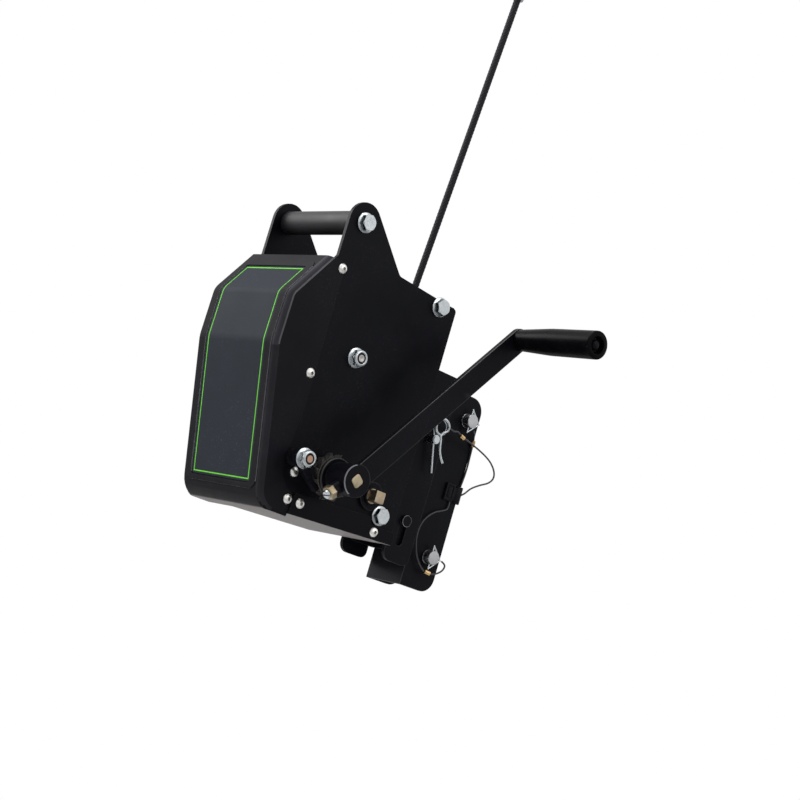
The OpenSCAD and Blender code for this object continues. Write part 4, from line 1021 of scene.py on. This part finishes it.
def make_fasteners():
    head, nut = make_bolt_head(), make_lock_nut()
    end, short_end = make_thread_end(0.012), make_thread_end(0.010)
    bolts = []
    for i, spot in enumerate((HANDLE_BOLT, ROLLER)):
        bolts.append(placed_copy(head, across(PLATE_FACE, *spot, 0.35 + 0.5 * i)))
        bolts.append(placed_copy(end, across(-PLATE_FACE, *spot, inward=True)))
        bolts.append(placed_rod("bolt_shank", [(ROD_R, -0.0725), (ROD_R, 0.067)], across(0, *spot),
                                bright_zinc))
    for side in (1, -1):
        bolts.append(placed_copy(head, across(side * PLATE_FACE, *LOW_BOLT, 0.2, side < 0)))
        bolts.append(placed_rod("short_shank", [(0.0046, 0.0462), (ROD_R, 0.0468), (ROD_R, 0.067)],
                                across(0, *LOW_BOLT, inward=side < 0), bright_zinc))
    bolt_set = join("flanged_bolts", bolts)
    # The flats that face front and down take the dim zinc: painted shade.
    paint(bolt_set, shaded_zinc_flats,
          lambda c, n: abs(n.x) < 0.2 and abs(c.x) > 0.0695 and (n.y < 0.3 or n.z < -0.5))
    carry(bolt_set, "flange_bolts")

    nuts = [placed_copy(nut, across(PLATE_FACE, *DRUM, 0.15)), placed_copy(nut, across(88.4, *PAWL, 0.6))]
    nuts += [placed_copy(nut, across(-PLATE_FACE, *spot, 0.3 * i, True))
             for i, spot in enumerate((DRUM, HANDLE_BOLT, ROLLER))]
    nuts += [placed_copy(nut, across(side * 58.2, *LOW_BOLT, 0.4, side > 0)) for side in (1, -1)]
    carry(join("lock_nuts", nuts), "flange_nuts")

    body = placed_rod("axle_body", [(0.0095, -0.06245), (0.01, -0.0620), (0.01, 0.0620), (0.0095, 0.06245)],
                      across(0, *DRUM), plain_steel, 56)
    ends = [placed_copy(short_end, across(PLATE_FACE, *DRUM)),
            placed_copy(end, across(-PLATE_FACE, *DRUM, inward=True))]
    rod = placed_rod("axle_rod", [(ROD_R, -0.0730), (ROD_R, 0.0730)], across(0, *DRUM), plain_steel)
    axle = join("threaded_axle", [body, rod] + ends)
    smooth_by_angle(axle, 30)
    carry(axle, "drum_axle")
    for model in (head, nut, end, short_end):
        put_away(model)


make_fasteners()
make_button_screws()


# ---------------------------------------------------------------- shafts, plunger, pins, grip and lanyard anchor

def finished(piece, node, finish, angle=32):
    dress(piece, finish)
    smooth_by_angle(piece, angle)
    carry(piece, node)


def shaft_ring(x):
    """A black ring on a drive shaft, just outside a bush, from x outwards."""
    ring = lathe("shaft_ring", [(0.0091, x), (0.0098, x + 0.0002), (0.0099, x + 0.0012),
                                (0.0091, x + 0.0015)], 56)
    dress(ring, black_coat)
    return ring


def make_second_shaft():
    """Round shaft in its bushes with the low-gear square on its near end, held by two black rings."""
    shaft = lathe("low_gear_shaft", [(0.0082, -0.0740), (0.0090, -0.0732), (0.0090, 0.0706), (0.0087, 0.0712),
                                     (0.0078, 0.0720)], 64)
    square = square_bar("low_gear_square", 0.0127, 0.0013, 0.0712, 0.0843, turn=45)
    for part in (shaft, square):
        dress(part, yellow_zinc)
    piece = join("low_gear_shaft", [shaft, square, shaft_ring(0.0703), shaft_ring(-0.0718)])
    smooth_by_angle(piece, 32)
    settle(piece, across(0, *SECOND))
    carry(piece, "second_shaft")


def make_drive_shaft():
    shaft = lathe("crank_shaft", [(0.0082, -0.0740), (0.0090, -0.0732), (0.0090, 0.0928),
                                  (0.0086, 0.0932)], 64)
    square = square_bar("crank_square", 0.0125, 0.0034, 0.0925, 0.1263, turn=6.7)
    for part in (shaft, square):
        dress(part, yellow_zinc)
    piece = join("crank_shaft", [shaft, square, shaft_ring(-0.0718)])
    smooth_by_angle(piece, 32)
    settle(piece, across(0, *DRIVE))
    carry(piece, "drive_shaft")


def make_plunger():
    """Slotted spring plunger and its lock nut, out along the plunger's line."""
    foot = Vector((113.7, *DRIVE)) / 1000
    stand = Matrix.Translation(foot) @ Matrix.Rotation(math.radians(133.5), 4, "X")
    body = lathe("plunger_barrel", [(0.0046, 0.0112), (0.0049, 0.0116), (0.0049, 0.0326), (0.0046, 0.0334),
                                    (0.0036, 0.0340)])
    slot = square_bar("slot_tool", 0.02, 0.0002, 0.0322, 0.036, turn=45)
    slot.data.transform(Matrix.Diagonal((1, 0.08, 1, 1)))
    cut(body, slot)
    settle(body, stand)
    finished(body, "plunger_body", bright_zinc, 28)
    nut = hex_block("plunger_hexagon", 0.0136, 0.0068, 0.0012, 0.0240)
    break_edges(nut, 0.0004, 3, 25)
    nut.data.transform(Matrix.Rotation(math.pi / 6, 4, "Z"))
    settle(nut, stand)
    finished(nut, "plunger_nut", yellow_zinc)


def make_pawl_stud():
    stud = lathe("pawl_pivot", [(0.0087, 0.0565), (0.0090, 0.0568), (0.0090, 0.0624), (0.0050, 0.0625),
                                (0.0050, 0.0665), (0.0068, 0.0666), (0.0070, 0.0668), (0.0070, 0.0787),
                                (0.0050, 0.0789), (0.0050, 0.0875), (0.0093, 0.0876), (0.0095, 0.0878),
                                (0.0095, 0.0883), (0.0050, 0.0884), (0.0050, 0.0960), (0.0048, 0.0974),
                                (0.0037, 0.0984)], 48)
    settle(stud, across(0, *PAWL))
    dress(stud, copper_end)
    # The stud's chamfer by the nut takes the dark nylon: painted shade.
    paint(stud, nylon_ring_and_painted_shade, lambda c, n: 0.0955 < c.x < 0.0983 and n.x < 0.99)
    smooth_by_angle(stud, 32)
    carry(stud, "pawl_stud")


def make_leg_pins():
    """Keeper pins with a plain round head and two detent balls at the far end."""
    for node, z in (("upper_leg_pin", 160), ("lower_leg_pin", 0)):
        pin = lathe(node + "_turned", [(0.0040, -0.0355), (0.0045, -0.0350), (0.0045, -0.0341),
                                       (0.0056, -0.0340), (0.0060, -0.0335), (0.0060, 0.0292),
                                       (0.0078, 0.0293), (0.0081, 0.0296), (0.0081, 0.0306),
                                       (0.0079, 0.0309), (0.0079, 0.0397), (0.0077, 0.0403),
                                       (0.0072, 0.0407), (0.0062, 0.0408)], 64)
        balls = []
        for x in (0.0043, -0.0043):
            deselect()
            bpy.ops.mesh.primitive_uv_sphere_add(segments=24, ring_count=14, radius=0.0018,
                                                 location=(x, 0, -0.0312))
            balls.append(bpy.context.object)
            settle(balls[-1])
        piece = join(node + "_turned", [pin] + balls)
        settle(piece, across(0, PIN_Y, z))
        finished(piece, node, pin_steel, 30)


def make_grip():
    """Revolving grip with its stepped bore, and the black headed spindle inside it."""
    place = across(0, *GRIP_AXIS)
    body = lathe("grip_body", [(0.0112, 0.12555), (0.0116, 0.1259), (0.0118, 0.1275), (0.0143, 0.1685),
                               (0.0146, 0.1745), (0.0152, 0.2374), (0.0151, 0.2386), (0.0148, 0.2392),
                               (0.0143, 0.23945)], 80)
    bore = lathe("grip_bore", [(0.0062, 0.1240), (0.0062, 0.2312), (0.0089, 0.2313), (0.0091, 0.2385),
                               (0.0098, 0.2400)], 64)
    cut(body, bore)
    settle(body, place)
    finished(body, "grip", grip_moulding)
    rod = lathe("spindle_rod", [(0.0086, 0.1165), (0.0090, 0.1168), (0.0090, 0.1192), (0.0088, 0.11945),
                                (0.0060, 0.11946), (0.0060, 0.2315), (0.0081, 0.2316), (0.0085, 0.2320),
                                (0.0085, 0.2328), (0.0076, 0.2337), (0.0056, 0.2338), (0.0055, 0.2357),
                                (0.0051, 0.2369), (0.0041, 0.2379), (0.0025, 0.2385), (0.0010, 0.2387)], 56)
    settle(rod, place)
    dress(rod, black_coat)
    # A bare-metal arc on one side of the washer's chamfer: painted glint.
    paint(rod, cut_end,
          lambda c, n: 0.2328 < c.x < 0.2337 and 0.3 < n.x < 0.99 and c.y < GRIP_AXIS[0] / 1000 + 0.001)
    smooth_by_angle(rod, 32)
    carry(rod, "grip_spindle")


def make_lanyard_anchor():
    """Moulded boss with a sunk panel, and a half-round sleeve that wraps the edge of the saddle."""
    boss = block((0.0306, 0.0287, 0.0770), (0.0028, 0.0134, 0.0198))
    pick(boss, "FACE", lambda face: face.normal.x > 0.9)
    bpy.ops.mesh.inset(thickness=0.0022)
    bpy.ops.mesh.extrude_region_move(TRANSFORM_OT_translate={"value": (-0.0009, 0, 0)})
    bpy.ops.mesh.inset(thickness=0.0018)
    bpy.ops.mesh.extrude_region_move(TRANSFORM_OT_translate={"value": (0.0008, 0, 0)})
    close_mesh()
    break_edges(boss, 0.0006, 3, 30)
    sleeve = lathe("anchor_sleeve", [(0.0049, 0.0672), (0.0052, 0.0676), (0.0052, 0.0864), (0.0049, 0.0868)])
    sleeve.data.transform(Matrix.Diagonal((0.64, 1, 1, 1)))
    settle(sleeve, Matrix.Translation((0.0287, 0.0436, 0)))
    web = block((0.0298, 0.0380, 0.0770), (0.0013, 0.0090, 0.0150))
    break_edges(web, 0.0004, 2, 30)
    finished(join("lanyard_anchor_moulding", [boss, sleeve, web]), "lanyard_anchor", moulding, 34)


make_second_shaft()
make_drive_shaft()
make_plunger()
make_pawl_stud()
make_leg_pins()
make_grip()
make_lanyard_anchor()


# ---------------------------------------------------------------- finishes on the CAD nodes that stay

for node, piece in frame["nodes"].items():
    if node not in done:
        dress(piece, SPECIAL.get(node, FINISH[slot_of[node]]))


# ---------------------------------------------------------------- studio

def light_panel(name, place, look_at, size, power):
    lamp = bpy.data.lights.new(name, "AREA")
    lamp.shape = "RECTANGLE"
    lamp.size, lamp.size_y = size
    lamp.energy = power
    panel = new_object(name, lamp)
    panel.location = place
    panel.rotation_euler = (Vector(look_at) - Vector(place)).to_track_quat("-Z", "Y").to_euler()


def make_floor():
    """A pale disc well below the winch, which fades to plain white far out."""
    deselect()
    bpy.ops.mesh.primitive_circle_add(vertices=96, radius=14, fill_type="NGON", location=(0, 0, 0))
    floor = bpy.context.object
    floor.name = "studio_floor"
    floor.data.transform(Matrix.Translation((-0.1, -0.1, -0.8)))
    m, tree, shader = new_finish("pale_floor")
    connect(tree, shader, {"Base Color": (0.86, 0.86, 0.86, 1), "Roughness": 0.9})
    out = add(tree, "ShaderNodeVectorMath", {0: place_on(tree)}, operation="LENGTH").outputs["Value"]
    seen = add(tree, "ShaderNodeLightPath").outputs["Is Camera Ray"]
    white = add(tree, "ShaderNodeEmission", {"Color": (1, 1, 1, 1), "Strength": 1.0})
    both = add(tree, "ShaderNodeMixShader", {0: times(tree, ramp(tree, out, 1.4, 3.2), seen),
                                             1: shader.outputs[0], 2: white.outputs[0]})
    connect(tree, tree.nodes["Material Output"], {"Surface": both.outputs[0]})
    dress(floor, m)


def make_air():
    """Soft light all round; the camera and reflections see plain white."""
    world = bpy.data.worlds.new("studio_air")
    bpy.context.scene.world = world
    world.use_nodes = True
    tree = world.node_tree
    tree.nodes.clear()
    path = add(tree, "ShaderNodeLightPath").outputs
    mirrored = calc(tree, "MAXIMUM", path["Is Glossy Ray"], path["Is Transmission Ray"])
    air = add(tree, "ShaderNodeBackground", {"Color": (0.95, 0.97, 1.0, 1), "Strength": 0.3})
    white = add(tree, "ShaderNodeBackground", {"Color": (1, 1, 1, 1), "Strength": 1.0})
    both = add(tree, "ShaderNodeMixShader", {0: calc(tree, "MAXIMUM", path["Is Camera Ray"], mirrored),
                                             1: air.outputs[0], 2: white.outputs[0]})
    add(tree, "ShaderNodeOutputWorld", {"Surface": both.outputs[0]})


make_floor()
make_air()
light_panel("top_panel", (-0.5, -0.9, 2.0), (0, -0.1, 0.15), (1.6, 1.6), 30)
light_panel("front_panel", (-1.75, -1.5, 0.95), (0, -0.15, 0.15), (1.3, 1.5), 54)
light_panel("side_panel", (1.9, 0.5, 1.3), (0, -0.1, 0.15), (0.9, 1.2), 8)
bpy.context.scene.view_settings.view_transform = "Standard"
